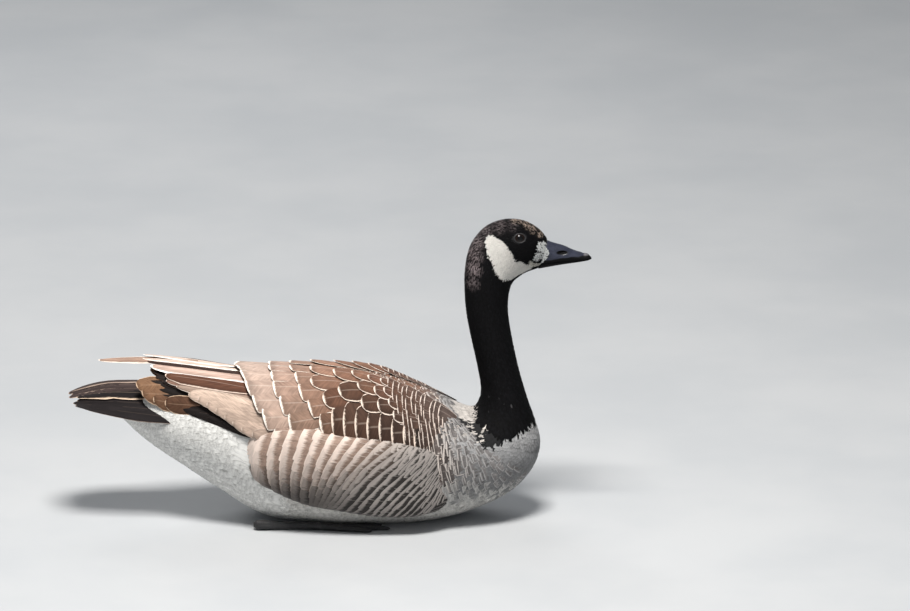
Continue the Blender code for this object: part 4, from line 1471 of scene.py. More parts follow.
@dataclass
class BodyCoat:
    """The small feathers of the body, neck and head, over the skin."""

    body: BodySurface
    markings: Markings
    # station, spacing of the roots in metres
    spacing: tuple = (
        (0.0, 0.0042), (3.0, 0.0045), (5.0, 0.0049), (6.5, 0.0056), (8.0, 0.0066), (9.0, 0.0056),
        (10.5, 0.0042), (12.0, 0.0035), (13.0, 0.0028), (14.0, 0.0025), (16.0, 0.0022), (20.0, 0.0017),
        (22.0, 0.0013), (26.0, 0.0011),
    )
    patches: tuple[CoatPatch, ...] = (
        CoatPatch("rump_coat", SILK, 0.0, 6.5, 5.6, 2.6, -0.0012, -0.00014, "white_plumage", 0.05, 0.006),
        CoatPatch("body_coat", DOWN, 6.5, 12.9, 4.2, 2.0, -0.0020, 0.0000, "body_plumage", 0.10, 0.03),
        CoatPatch("neck_coat", TUFT, 12.9, 20.0, 3.4, 1.4, -0.0014, 0.0002, "black_plumage", 0.14, 0.08),
        CoatPatch("head_coat", TUFT, 20.0, 26.0, 2.3, 1.0, -0.0009, 0.0002, "black_plumage", 0.14, 0.06),
    )
    # where the wings cover the body: rear and front x, y, and height over the wing's lower edge
    under_wing: tuple = (-0.150, 0.100, 0.020, 0.012)
    # the bare place round each eye
    bare_middle: tuple = (0.2385, 0.0215, 0.3660)
    bare_radii: tuple = (0.0098, 0.0150, 0.0068)

    def roots(self, rng: np.random.Generator) -> tuple[Array, Array, Array]:
        """Roots all over the body, less those under the wings and flanks and round the eyes.

        Args:
            rng: Source of their small shifts.

        Returns:
            Each root's p, its q and its spacing.
        """
        table = np.array(self.spacing)
        p, q, gap = scatter(self.body, (0.05, 25.95), lambda at: float(np.interp(at, *table.T)), rng)
        place = self.body.point(p, q)
        x, y, z = place[:, 0], np.abs(place[:, 1]), place[:, 2]
        lower_edge = WingSurface(Side.LEFT).edges(x)[:, 3]
        rear, front, inner, above = self.under_wing
        hidden = (x < front) & (x > rear) & (z > lower_edge + above) & (y > inner)
        for side in Side:
            hidden = hidden | FlankSurface(side).holds(place, 0.004)
            # no tuft is rooted on the lids, nor just ahead of them where its tip would lie over them
            away = np.abs(place - np.array(self.bare_middle) * (1, side.value, 1)) / np.array(self.bare_radii)
            hidden = hidden | (np.linalg.norm(away, axis=1) < 1.0)
        keep = ~hidden & (z > 0.0006)
        return p[keep], q[keep], gap[keep]

    def build(self, finishes: dict[str, Material]) -> None:
        """Makes the coat's pieces.

        Args:
            finishes: Their materials by the pieces' names.
        """
        rng = Draws.BODY.stream()
        p, q, gap = self.roots(rng)
        for patch in self.patches:
            pick = (p >= patch.start) & (p < patch.end)
            count = int(pick.sum())
            place = self.body.point(p[pick], q[pick])
            look = self.markings.read(place, rng)
            g = gap[pick]
            away = rng.standard_normal((3, count))
            length = g * patch.long * (1 + 0.12 * away[0])
            feathers = Feathers(
                patch.form, self.body, p[pick], q[pick], length, width=g * patch.wide * (1 + 0.10 * away[1]),
                turn=0.14 * away[2], pointed=0.5, root_lift=patch.root_lift - 0.05 * g,
                tip_lift=patch.tip_lift + patch.stray * g * rng.random(count),
                plume=look["plume"], trim=look["trim"], side_size=0.5 * look["size"],
                tip_size=np.minimum(look["size"], 0.2 * length), softness=look["soft"],
                roll=0.00004 * away[0], ragged=patch.ragged, silky=patch.form is not TUFT,
            )
            stand_for(coat_object(patch.name, feathers.shape(rng), finishes[patch.name]), patch.slot)


@dataclass
class FlankCoat:
    """The barred flank feathers of one side: rows of broad feathers whose pale tips line up in arcs."""

    side: Side
    # x, gap between rows
    row_gaps: tuple = ((-0.09, 0.0162), (-0.02, 0.0155), (0.05, 0.0132), (0.11, 0.0108), (0.17, 0.0080))
    across: float = 0.0060
    bow: float = 0.0100
    slant: float = 0.1150
    # x of the first row, of the last row's end and of the rearmost tip
    first: float = -0.0945
    end: float = 0.190
    rearmost: float = -0.1000
    long: float = 0.036
    wide: float = 0.030
    # how the length and the width grow from the smallest feathers to the largest
    growth: tuple = ((0.35, 0.65), (0.45, 0.55))
    high: Colour = shade(170, 143, 127)
    # painted shade: the lower flank's colours, darker towards the bottom under the light from above
    low: Colour = shade(46, 41, 39)
    fore: Colour = shade(44, 39, 36)
    pale_high: Colour = shade(224, 206, 194)
    pale_low: Colour = shade(88, 82, 78)
    pale_fore: Colour = shade(152, 145, 140)

    def build(self, finish: Material) -> None:
        """Makes the flank's feathers.

        Args:
            finish: Their material.
        """
        rng = Draws[f"FLANK_{self.side.name}"].stream()
        surface = FlankSurface(self.side)
        rows, x, row = [], self.first, 0
        while x < self.end:
            small = float(np.interp(x, [0.05, 0.17], [1.0, 0.42]))
            around = 2.3 * float(surface.sizes(np.array([min(x, 0.15)]))[0, 2:].sum())
            count = max(7, int(around / (self.across * (0.4 + 0.6 * small))))
            q = -0.07 + 0.68 * (np.arange(count) + 0.5 * (row % 2)) / count
            down = np.clip(q / 0.5, 0, 1)
            lean = float(np.interp(x, [-0.06, 0.0, 0.08], [0.04, 0.30, 1.0]))
            bow = self.bow * float(np.interp(x, [-0.09, -0.03], [1.7, 1.0]))
            tip = x - bow * np.sin(np.pi * down) - self.slant * lean * (down - 0.25)
            tip = tip + rng.normal(0, 0.0003, count)
            slope = -(bow * np.pi * np.cos(np.pi * down) + self.slant * lean) / (0.74 * around)
            gap = float(np.interp(x, *np.array(self.row_gaps).T))
            columns = (tip, q + rng.normal(0, 0.002, count), small, slope, gap)
            rows.append(np.stack(np.broadcast_arrays(*columns)))
            x += gap
            row += 1
        tips, q, small, slope, gap = np.concatenate(rows, axis=1)
        tips = np.maximum(tips, self.rearmost + 0.0015 * rng.random(len(tips)))
        (least, more), (narrow, wider) = self.growth
        length = self.long * (least + more * small) * (1 + 0.05 * rng.standard_normal(len(q)))
        place = surface.point(tips, q)
        keep = (tips + length < self.end) & (place[:, 2] > 0.003)
        columns = (tips, q, small, slope, gap, length, place)
        tips, q, small, slope, gap, length, place = (column[keep] for column in columns)
        # painted shade: the flank's plumes and bars darken towards the bottom
        painted_shade_drop = step(0.126, 0.062, place[:, 2] - 0.10 * (tips - 0.02).clip(-0.08, 0.1))[:, None]
        front = step(-0.010, 0.100, tips + 0.6 * (0.100 - place[:, 2]).clip(-0.02, 0.03))[:, None]
        vary = 1 + 0.05 * rng.standard_normal((len(q), 1))
        tones = ((self.high, self.low, self.fore), (self.pale_high, self.pale_low, self.pale_fore))
        plume, trim = (
            (between(between(high, low, painted_shade_drop), fore, front) * vary).clip(0.01, 0.9) for high, low, fore in tones
        )
        feathers = Feathers(
            FLANK, surface, tips + length, q, length, width=self.wide * (narrow + wider * small),
            turn=0.03 * rng.standard_normal(len(q)), pointed=0.06, root_lift=-0.0020 * (0.5 + 0.5 * small),
            tip_lift=0.0002 + 0.0016 * (0.61 - q).clip(0, 0.7), plume=plume, trim=trim, side_size=0.0003,
            tip_size=gap * (0.42 - 0.12 * front[:, 0]), softness=0.50, roll=0.0001,
            skew=self.side.value * slope.clip(-1.2, 1.2), ragged=0.03, silky=True,
        )
        stand_for(coat_object(f"flank_coat_{self.side.word}", feathers.shape(rng), finish), "body_plumage")


@dataclass
class ShoulderCoat:
    """The close rows of narrow-looking dark feathers with whitish edges, between the wing and the breast."""

    body: BodySurface
    row_gap: float = 0.0044
    across: float = 0.0150
    span: tuple[float, float] = (7.4, 12.2)
    turn_span: tuple[float, float] = (0.004, 0.44)
    # under the wings, up to this station, only a strip of this turn along the back shows
    wing_front: float = 8.7
    strip: float = 0.075
    long: float = 0.024
    wide: float = 0.030
    warm: Colour = shade(120, 88, 71)
    dark: Colour = shade(62, 49, 44)
    dark_fore: Colour = shade(116, 113, 112)
    belly: Colour = shade(186, 184, 180)
    pale: Colour = shade(222, 209, 199)
    pale_fore: Colour = shade(164, 162, 161)

    def build(self, finish: Material) -> None:
        """Makes both shoulders' rows as one piece.

        Args:
            finish: Their material.
        """
        rng = Draws.SHOULDERS.stream()
        rows, p, row = [], self.span[0], 0
        ring, probe = np.linspace(*self.turn_span, 40), 0.01
        while p < self.span[1]:
            places = self.body.point(np.full(40, p), ring)
            length = np.linalg.norm(np.diff(places, axis=0), axis=1).sum()
            count = int(length / self.across)
            q = np.interp((np.arange(count) + 0.5 * (row % 2)) / count, [0, 1], self.turn_span)
            q = q + rng.normal(0, 0.0090, count)
            for flip in (False, True):
                rows.append(np.stack([p + rng.normal(0, 0.026, count), 1 - q if flip else q]))
            ahead = np.linalg.norm(self.body.point(np.full(40, p + probe), ring) - places, axis=1).mean() / probe
            p += self.row_gap / ahead
            row += 1
        p, q = np.concatenate(rows, axis=1)
        shown = (p > self.wing_front) | (np.minimum(np.mod(q, 1.0), np.mod(-q, 1.0)) < self.strip)
        p, q = p[shown], q[shown]
        count = len(p)
        place = self.body.point(p, q)
        ahead = p + 0.12 * rng.standard_normal(count) + 30 * (0.085 - place[:, 2]).clip(0, 0.07)
        front = step(9.5, 11.3, ahead)[:, None]
        low = step(0.078, 0.050, place[:, 2])[:, None]
        vary = 1 + 0.13 * rng.standard_normal((count, 1))
        side = np.where(q > 0.5, 1.0, -1.0)
        length = (self.long - 0.007 * front[:, 0]) * (1 + 0.08 * rng.standard_normal(count))
        high = step(0.125, 0.160, place[:, 2])[:, None]
        ground = between(between(self.dark, self.warm, high), self.dark_fore, front)
        trim = between(between(self.pale, self.pale_fore, front), self.belly, low)
        high, fore = high[:, 0], front[:, 0]
        feathers = Feathers(
            FLANK, self.body, p, q, length, width=self.wide - 0.014 * high - 0.018 * fore * (1 - high),
            turn=side * (0.10 + 0.06 * rng.standard_normal(count)), pointed=0.055 + 0.20 * high,
            root_lift=-0.0022, tip_lift=0.0006 + 0.0006 * rng.random(count) - 0.0005 * fore,
            plume=(between(ground, self.belly, low) * vary).clip(0.01, 0.9), trim=trim, side_size=0.0007,
            tip_size=0.0011 * (1 + 0.3 * rng.standard_normal(count)).clip(0.4, 2), softness=0.5 + 0.5 * fore,
            roll=0.0002 * rng.standard_normal(count), ragged=0.06,
        )
        stand_for(coat_object("shoulder_coat", feathers.shape(rng), finish), "body_plumage")


@dataclass(frozen=True)
class Tier:
    """A tier of wing feathers, by the line of their tips from the wing's upper towards its lower edge.

    The two values of a pair are for the tier's first and last feather. Turn is towards the lower edge.
    """

    name: str
    count: int
    tips: tuple[tuple[float, float], ...]
    length: tuple[float, float]
    width: tuple[float, float]
    turn: tuple[float, float]
    pointed: float
    slope: float
    tip_lift: float
    sink: float
    # in the brown tiers the first, uppermost feathers are lighter: partly their own tone, partly painted light
    # on the wing's upper edge
    plumes_and_painted_light: tuple[Colour, Colour]
    trim: Colour
    side_size: float
    tip_size: float
    softness: float = 0.55
    roll: float = 0.0006
    follow: float = 0.0


def shoulder_tiers() -> tuple[Tier, ...]:
    """The close tiers over the front of the wing, each a little further forward, smaller and greyer.

    Returns:
        The tiers, rear first.
    """
    tiers = []
    for k in range(12):
        f = k / 11
        start = 0.070 + 0.0058 * k
        line = ((0, 0.0), (0.004, 0.18), (0.010, 0.40), (0.020, 0.62), (0.029, 0.93))
        tips = tuple((start + reach, q + 0.045 * (k % 2)) for reach, q in line)
        # the upper feathers lighter and the lower ones darker: partly their own tone, partly painted light and
        # shade
        first = between(shade(98, 71, 58), shade(82, 70, 65), f)
        last = between(shade(50, 39, 34), shade(62, 54, 50), f)
        tiers.append(Tier(
            f"shoulder_{k}", 5, tips, (0.034 - 0.010 * f, 0.030 - 0.006 * f),
            (0.034 - 0.004 * f, 0.034 - 0.003 * f), (0.12, 0.32), 0.055, 0.10, 0.0013, 0.0, (first, last),
            shade(216, 200, 189), 0.0007, 0.0012, 0.55, 0.0003, 0.9,
        ))
    return tuple(tiers)


def lower_scapulars() -> tuple[Tier, ...]:
    """The row of tall dark feathers over the flank, one tier each, the front ones lying over the rear ones.

    Returns:
        The tiers, rear first.
    """
    tiers = []
    for k in range(8):
        f = k / 7
        tip = (0.004 + 0.0140 * k, 0.735 + 0.012 * (k % 2))
        ground = between(shade(84, 60, 48), shade(46, 36, 32), f)
        tiers.append(Tier(
            f"scapular_low_{k}", 1, (tip, tip), (0.050, 0.050), (0.052 - 0.006 * f,) * 2, (0.26, 0.26), 0.20,
            0.085, 0.0010 + 0.00005 * k, 0.0, (ground, ground), shade(236, 216, 200), 0.0012, 0.0024, 0.55,
            0.0004,
        ))
    return tuple(tiers)


@dataclass
class Wing:
    """A folded wing's feathers, tier over tier, from the primaries to the shoulder."""

    side: Side
    tiers: tuple[Tier, ...] = (
        Tier(
            "primaries", 9, ((-0.236, 0.60), (-0.234, 0.76), (-0.215, 0.90), (-0.195, 0.985), (-0.172, 1.01),
            (-0.145, 0.99), (-0.118, 0.955)), (0.120, 0.080), (0.013, 0.012), (0.0, 0.10), 0.40, 0.020, -0.0046,
            0.005, (shade(30, 24, 22), shade(26, 21, 20)), shade(60, 48, 42), 0.0005, 0.0006,
        ),
        Tier(
            "primary_tips", 4, ((-0.2394, 0.79), (-0.2330, 0.95), (-0.2190, 1.00), (-0.2050, 0.975)), (0.056,
            0.050), (0.0215, 0.0200), (0.42, 0.26), 0.40, 0.022, -0.0028, 0.004, (shade(124, 93, 70), shade(88,
            62, 47)), shade(214, 184, 156), 0.0007, 0.0013,
        ),
        Tier(
            "primaries_inner", 4, ((-0.224, 0.20), (-0.224, 0.30), (-0.220, 0.44), (-0.212, 0.56)), (0.120,
            0.110), (0.014, 0.014), (0.0, 0.0), 0.40, 0.020, -0.0040, 0.005, (shade(36, 27, 24), shade(32, 25,
            23)), shade(90, 70, 60), 0.0004, 0.0005,
        ),
        Tier(
            "secondaries_upper", 2, ((-0.2056, 0.545), (-0.1925, 0.63)), (0.115, 0.105), (0.013, 0.013), (0.02,
            0.03), 0.34, 0.026, -0.0018, 0.004, (shade(132, 102, 88), shade(158, 136, 122)), shade(236, 222,
            210), 0.0006, 0.0009,
        ),
        Tier(
            "secondaries", 8, ((-0.176, 0.735), (-0.160, 0.80), (-0.143, 0.87), (-0.127, 0.925), (-0.112,
            0.965), (-0.096, 0.99)), (0.095, 0.075), (0.019, 0.017), (0.05, 0.12), 0.26, 0.026, -0.0012, 0.004,
            (shade(190, 168, 152), shade(178, 156, 141)), shade(214, 195, 180), 0.0005, 0.0010, 0.8, 0.00035,
        ),
        Tier(
            "tertials_lower", 1, ((-0.2065, 0.43), (-0.2065, 0.43)), (0.125, 0.125), (0.0190, 0.0190), (0.0,
            0.0), 0.26, 0.030, 0.0002, 0.004, (shade(88, 57, 43), shade(88, 57, 43)), shade(226, 204, 188),
            0.0010, 0.0014,
        ),
        Tier(
            "tertials_middle", 1, ((-0.2245, 0.24), (-0.2245, 0.24)), (0.135, 0.135), (0.0170, 0.0170), (0.0,
            0.0), 0.26, 0.030, 0.0012, 0.004, (shade(196, 168, 154), shade(196, 168, 154)), shade(250, 246,
            242), 0.0022, 0.0024,
        ),
        Tier(
            "tertials_dark", 1, ((-0.2290, 0.11), (-0.2290, 0.11)), (0.135, 0.135), (0.0120, 0.0120), (0.0,
            0.0), 0.30, 0.030, 0.0016, 0.004, (shade(50, 33, 27), shade(50, 33, 27)), shade(150, 120, 104),
            0.0004, 0.0008,
        ),
        Tier(
            "tertials_upper", 1, ((-0.2340, 0.01), (-0.2340, 0.01)), (0.140, 0.140), (0.0110, 0.0110), (0.0,
            0.0), 0.32, 0.030, 0.0024, 0.004, (shade(208, 186, 172), shade(208, 186, 172)), shade(248, 240,
            232), 0.0016, 0.0020,
        ),
        Tier(
            "greater_coverts", 6, ((-0.116, 0.03), (-0.1086, 0.30), (-0.103, 0.50), (-0.0940, 0.64), (-0.083,
            0.77), (-0.0745, 0.87), (-0.0660, 0.97)), (0.064, 0.058), (0.036, 0.026), (0.12, 0.26), 0.07, 0.075,
            0.0, 0.0, (shade(182, 160, 147), shade(162, 138, 124)), shade(250, 240, 228), 0.0005, 0.0026, 0.5,
            0.0004, 1.0,
        ),
        Tier(
            "median_coverts", 6, ((-0.077, 0.03), (-0.0715, 0.26), (-0.0690, 0.44), (-0.062, 0.60), (-0.055,
            0.73), (-0.0469, 0.852), (-0.036, 0.97)), (0.058, 0.052), (0.036, 0.026), (0.14, 0.28), 0.075,
            0.080, 0.0003, 0.0, (shade(166, 140, 126), shade(140, 112, 95)), shade(250, 238, 226), 0.0006,
            0.0026, 0.5, 0.0004, 1.0,
        ),
        Tier(
            "lesser_coverts", 6, ((-0.050, 0.05), (-0.0426, 0.276), (-0.036, 0.48), (-0.0244, 0.63), (-0.015,
            0.71), (-0.0094, 0.80), (0.004, 0.96)), (0.052, 0.046), (0.035, 0.026), (0.16, 0.30), 0.11, 0.085,
            0.0006, 0.0, (shade(146, 117, 101), shade(104, 76, 60)), shade(248, 234, 220), 0.0008, 0.0025, 0.5,
            0.0004, 0.9,
        ),
        *lower_scapulars(),
        Tier(
            "scapulars_rear", 3, ((-0.024, 0.07), (-0.022, 0.32), (-0.006, 0.54)), (0.058, 0.050), (0.046,
            0.036), (0.22, 0.40), 0.40, 0.090, 0.0015, 0.0, (shade(146, 112, 94), shade(90, 62, 48)), shade(240,
            222, 206), 0.0015, 0.0026, 0.55,
        ),
        Tier(
            "scapulars_second", 2, ((0.004, 0.10), (0.0125, 0.42)), (0.054, 0.048), (0.046, 0.038), (0.26,
            0.42), 0.42, 0.092, 0.0018, 0.0, (shade(132, 97, 79), shade(80, 56, 44)), shade(238, 220, 204),
            0.0015, 0.0026, 0.55,
        ),
        Tier(
            "scapulars_third", 3, ((0.026, 0.05), (0.0335, 0.26), (0.040, 0.50)), (0.048, 0.042), (0.036,
            0.032), (0.24, 0.38), 0.42, 0.095, 0.0019, 0.0, (shade(124, 90, 72), shade(72, 51, 40)), shade(236,
            217, 202), 0.0014, 0.0023, 0.55,
        ),
        Tier(
            "scapulars_fourth", 3, ((0.047, 0.05), (0.0535, 0.25), (0.0600, 0.47)), (0.040, 0.036), (0.031,
            0.028), (0.22, 0.34), 0.38, 0.10, 0.0019, 0.0, (shade(108, 76, 61), shade(70, 51, 41)), shade(238,
            220, 206), 0.0015, 0.0022, 0.55,
        ),
        Tier(
            "scapulars_fifth", 4, ((0.061, 0.03), (0.066, 0.20), (0.073, 0.40), (0.078, 0.52)), (0.036, 0.030),
            (0.026, 0.022), (0.16, 0.30), 0.32, 0.10, 0.0018, 0.0, (shade(102, 73, 59), shade(66, 49, 41)),
            shade(234, 217, 204), 0.0013, 0.0019, 0.55,
        ),
        *shoulder_tiers(),
    )

    def feathers(self, tier: Tier, rng: np.random.Generator) -> Feathers:
        """One tier's feathers.

        Args:
            tier: The tier.
            rng: Source of its small differences.

        Returns:
            The feathers.
        """
        surface, count = WingSurface(self.side), tier.count
        share = np.linspace(0, 1, count) if count > 1 else np.array([0.5])
        knots = np.array(tier.tips)
        runs = np.hypot(*(np.diff(knots, axis=0) * (1, 0.1)).T)
        # a hair is added to each, as the knots of a single feather lie on one place
        reach = np.concatenate([[0], np.cumsum(runs)]) + 1e-9 * np.arange(len(knots))
        tip_x, tip_t = (np.interp(share * reach[-1], reach, knots[:, k]) for k in (0, 1))

        def pair(values: tuple[float, float]) -> Array:
            """Each feather's value between the tier's first and last."""
            return values[0] + (values[1] - values[0]) * share

        length, turn = pair(tier.length), pair(tier.turn)
        if self.side is Side.LEFT and tier.name.startswith("primar"):
            # the far wing's points lie hidden behind the near wing's
            tip_x = tip_x + 0.016
        if count > 2:
            tip_x = tip_x + rng.normal(0, 0.0007, count)
            turn = turn + rng.normal(0, 0.025, count)
        root_x = tip_x + length * np.cos(turn)
        at_root, at_tip = (np.linalg.norm(surface.frame(x, tip_t)[1], axis=-1) for x in (root_x, tip_x))
        width = pair(tier.width) * at_root / at_tip * (1 + 0.04 * rng.standard_normal(count))
        root_t = tip_t - length * np.sin(turn) / at_root
        colour = between(*tier.plumes_and_painted_light, share[:, None])
        vary = 1 + 0.07 * rng.standard_normal((count, 1))
        lift = tier.tip_lift + 0.0003 * rng.random(count)
        form = FLIGHT if length.max() > 0.07 else COVERT
        lean = np.gradient(tip_x, tip_t * at_tip) if count > 2 and tier.follow else 0.0
        skew = self.side.value * tier.follow * np.tan(np.clip(np.arctan(lean) - turn, -0.9, 0.9))
        return Feathers(
            form, surface, root_x, root_t, length, width, -self.side.value * turn, tier.pointed,
            root_lift=lift - tier.slope * length - tier.sink, tip_lift=lift,
            plume=colour * vary, trim=tier.trim,
            side_size=tier.side_size * at_root / at_tip, tip_size=tier.tip_size, softness=tier.softness,
            roll=self.side.value * -tier.roll, skew=skew, ragged=0.03, patch=0.012,
        )

    def long_feather(self) -> Feathers:
        """The left wing's longest tertial, which lies along the ridge and past the right wing's tips.

        Returns:
            The feather.
        """
        return Feathers(
            FLIGHT, RidgeSurface(), p=-0.165, q=np.array([0.0035]), length=0.1250, width=0.0125, turn=0.0,
            pointed=0.55, root_lift=0.0002, tip_lift=0.0012,
            plume=shade(160, 132, 116), trim=shade(240, 226, 212),
            side_size=0.0012, tip_size=0.0020, softness=0.5, roll=0.0, ragged=0.02, patch=0.02,
        )

    def build(self, finish: Material) -> None:
        """Makes the wing's feathers as one piece.

        Args:
            finish: Their material.
        """
        rng = Draws.WING.stream()
        shapes = [self.feathers(tier, rng).shape(rng) for tier in self.tiers]
        if self.side is Side.LEFT:
            shapes.append(self.long_feather().shape(rng))
        piece = coat_object(f"wing_feathers_{self.side.word}", joined(shapes), finish)
        stand_for(piece, "wing_plumage", f"wing_{self.side.word}")


@dataclass
class Tail:
    """The closed tail: overlapping dark rectrices."""

    a_side: int = 8
    half_width: float = 0.0085
    stack: float = 0.0060
    top: float = 0.0045
    gap: float = 0.0035
    edge_row: int = 3

    def build(self, finish: Material) -> None:
        """Makes the rectrices as one piece.

        Args:
            finish: Their material.
        """
        rng = Draws.TAIL.stream()
        last = self.a_side - 1
        spots = [
            (side.value * (k + 0.5) / self.a_side, self.top - self.stack * k / last, side.value, k)
            for side in Side for k in range(self.a_side)
        ]
        q, lift, sign, rank = np.array(spots).T
        lift = lift - self.gap * (rank > self.edge_row)
        count = len(q)
        edge, upper = rank == self.edge_row, (rank < self.edge_row)[:, None]
        plume = np.where(upper, np.asarray(shade(62, 51, 49)), np.asarray(shade(30, 26, 27)))
        plume = plume * (1 + 0.35 * rng.standard_normal((count, 1)).clip(-1, 1.5))
        trim = np.where(edge[:, None], np.asarray(shade(224, 198, 174)), np.asarray(shade(132, 114, 102)))
        trim = np.where(upper, np.asarray(shade(168, 148, 134)), trim)
        feathers = TailFeathers(
            FLIGHT, TailSurface(), p=0.06, q=q, length=0.132, width=2 * self.half_width, turn=0.0, pointed=0.20,
            root_lift=lift, tip_lift=lift, plume=plume, trim=trim,
            side_size=np.where(edge, 0.0012, np.where(rank < self.edge_row, 0.0017, 0.0004)), tip_size=0.0012,
            softness=0.8, roll=-sign * 0.0007, ragged=0.07, patch=0.02,
            reach=1.0 - 0.07 * rng.random(count) * (rank > 0),
        )
        stand_for(coat_object("tail_feathers", feathers.shape(rng), finish), "tail_plumage", "tail")


@dataclass
class TailFeathers(Feathers):
    """Feathers that fan with the tail's own surface, from root to tip."""

    reach: Array | float = 1.0
    # half the tail's width, and how far round its roof a feather may reach
    eave: float = 0.042
    edge: float = 1.12

    def shape(self, rng: np.random.Generator) -> dict[str, Array]:
        """The feathers' joined mesh, laid out in the tail's own two numbers.

        Args:
            rng: Source of the small irregularities.

        Returns:
            Its places, quads, maps and attributes.
        """
        a, w, b, h, quads = self.lens(rng)
        p = self.p[:, None] + (np.broadcast_to(self.reach, self.p.shape) - self.p)[:, None] * a
        q = np.clip(self.q[:, None] + 0.5 * self.width[:, None] * w * b / self.eave, -self.edge, self.edge)
        lift = self.root_lift[:, None] * (0.35 + 0.65 * a) + self.form.camber * 0.4 * (1 - b**2)
        lift = lift + self.form.thickness / 2 * h + self.roll[:, None] * b
        return self.gather(self.surface.point(p, q, lift), quads, a, b, h, rng)


@dataclass
class Bill:
    """The bill's two halves, with nail, nostrils and the line of the mouth."""

    tip: tuple[float, float] = (0.3275, 0.3345)
    mouth_base_z: float = 0.3300
    mouth_bow: float = 0.0010
    mouth_gap: float = 0.0005
    depth_upper: float = 0.0262
    depth_lower: float = 0.0066
    nail: float = 0.0050
    # the nail's hump and the ridge's dip: height, share of the length, share that it spreads over
    hook: tuple[float, float, float] = (0.0030, 0.925, 0.06)
    dip: tuple[float, float, float] = (0.0022, 0.62, 0.18)
    half_base: float = 0.0130
    half_tip: float = 0.0095
    nostril: tuple[float, float] = (0.2905, 0.3440)
    nostril_radii: tuple[float, float] = (0.0050, 0.0018)
    nostril_depth: float = 0.0030
    base: tuple[float, float, float, float] = (0.2730, 0.3585, 0.2620, 0.3225)

    def mandible(self, lower: bool, share: Array, turn: Array) -> Array:
        """The place of a corner of one half of the bill.

        Args:
            lower: Whether it is the lower half.
            share: From the feathered base to the tip.
            turn: Round the section, from the top.

        Returns:
            Places.
        """
        a = 1 - (1 - share) ** 1.6
        mouth = self.mouth_base_z + (self.tip[1] - self.mouth_base_z) * a + self.mouth_bow * np.sin(np.pi * a)
        end = np.sqrt(np.maximum(1 - a**9, 0.004))
        ridge = self.depth_upper * (1 - a) ** 1.35 + self.nail * np.sin(np.pi * a**1.4) + 0.0012 * end
        hook, dip = (high * np.exp(-(((a - at) / wide) ** 2)) for high, at, wide in (self.hook, self.dip))
        ridge = ridge + (hook - dip) * end
        keel = self.depth_lower * (1 - a) ** 0.8 + 0.0016 * end
        half = (self.half_base + (self.half_tip - self.half_base) * a**0.8) * end
        c, s = np.cos(2 * np.pi * turn), np.sin(2 * np.pi * turn)
        if lower:
            z = mouth - self.mouth_gap / 2 + np.minimum(c, 0) * keel
            y = s * (half - 0.0007 * end)
        else:
            z = mouth + self.mouth_gap / 2 + np.maximum(c, 0) * ridge
            y = signed_power(s, 0.85) * half
        tx, tz, bx, bz = self.base
        start = bx + (tx - bx) * (z - bz) / (tz - bz) - 0.0006
        x = start + (self.tip[0] - start) * a
        if not lower:
            deep = sum(((at - middle) / radius) ** 2
                       for at, middle, radius in zip((x, z), self.nostril, self.nostril_radii))
            y = y - np.sign(y) * self.nostril_depth * np.exp(-(deep**1.5)) * (np.abs(c) < 0.97)
        return np.stack([x, y, z], axis=-1)

    def build(self, finish: Material) -> None:
        """Makes both halves.

        Args:
            finish: Their material.
        """
        for name, lower in (("bill_upper", False), ("bill_lower", True)):
            piece = extruded_tube(f"{name}_horn", 96, lambda s, t, low=lower: self.mandible(low, s, t), 90)
            settle(piece, finish)
            stand_for(piece, "bill_horn", name)


@dataclass
class BillSurface(Surface):
    """The upper bill's side: p is the share from its base, and q turns once from the ridge."""

    bill: Bill
    small = 2e-3
    run: float = 0.088

    def point(self, p: Array, q: Array, lift: Array | float = 0.0) -> Array:
        """The place of (p, q), lifted off the horn.

        Args:
            p: Stations along.
            q: Places round or across.
            lift: How far off the surface.

        Returns:
            Places.
        """
        p, q, lift = np.broadcast_arrays(np.asarray(p, float), q, lift)
        on = np.maximum(p, 1e-4)
        place = self.bill.mandible(False, on, q)
        place[..., 0] += (p - on) * self.run
        out = np.stack([0 * q, np.sin(2 * np.pi * q), np.maximum(np.cos(2 * np.pi * q), 0)], axis=-1)
        return place + out * lift[..., None]

    def unwrap(self, p: Array, q: Array) -> Array:
        """The share along U and the turn along V."""
        return np.stack([0.1 + 0.8 * np.clip(p, 0, 1), 0.02 + 0.96 * np.mod(q, 1.0)], axis=-1)


@dataclass
class LoreCoat:
    """The pale speckled tufts that reach forward over the bill's base on both sides."""

    bill: Bill
    # the lobe's furthest x, its height and its half height
    lobe: tuple[float, float, float] = (0.2752, 0.3435, 0.0100)
    # painted shade: darker than the body's lore, to even out the light that falls on the tufts over the bill
    tint: Colour = shade(196, 199, 198)
    tufts: int = 2400

    def build(self, finish: Material) -> None:
        """Makes the tufts of both sides as one piece.

        Args:
            finish: Their material.
        """
        rng = Draws.LORE.stream()
        surface = BillSurface(self.bill)
        p = rng.uniform(0.0, 0.14, self.tufts)
        q = rng.uniform(0.09, 0.249, self.tufts) * rng.choice([-1.0, 1.0], self.tufts)
        place = surface.point(p, q)
        far, middle, half = self.lobe
        edge = far - 0.0078 * ((place[:, 2] - middle) / half) ** 2 + 0.0004 * rng.standard_normal(self.tufts)
        keep = place[:, 0] < edge
        p, q = p[keep], q[keep]
        count = len(p)
        specks = (rng.random(count) < 0.10)[:, None]
        plume = np.where(specks, 0.01, np.asarray(self.tint) * (0.8 + 0.2 * rng.random((count, 1))))
        feathers = Feathers(
            TUFT, surface, p, q, length=0.0026 + 0.0004 * rng.random(count), width=0.0012,
            turn=0.2 * rng.standard_normal(count), pointed=0.5, root_lift=-0.0003,
            tip_lift=0.0003 + 0.0003 * rng.random(count), plume=plume, trim=plume, side_size=0.0002,
            tip_size=0.0002, softness=0.7, roll=0.0, ragged=0.12,
        )
        stand_for(coat_object("lore_coat", feathers.shape(rng), finish), "white_plumage")


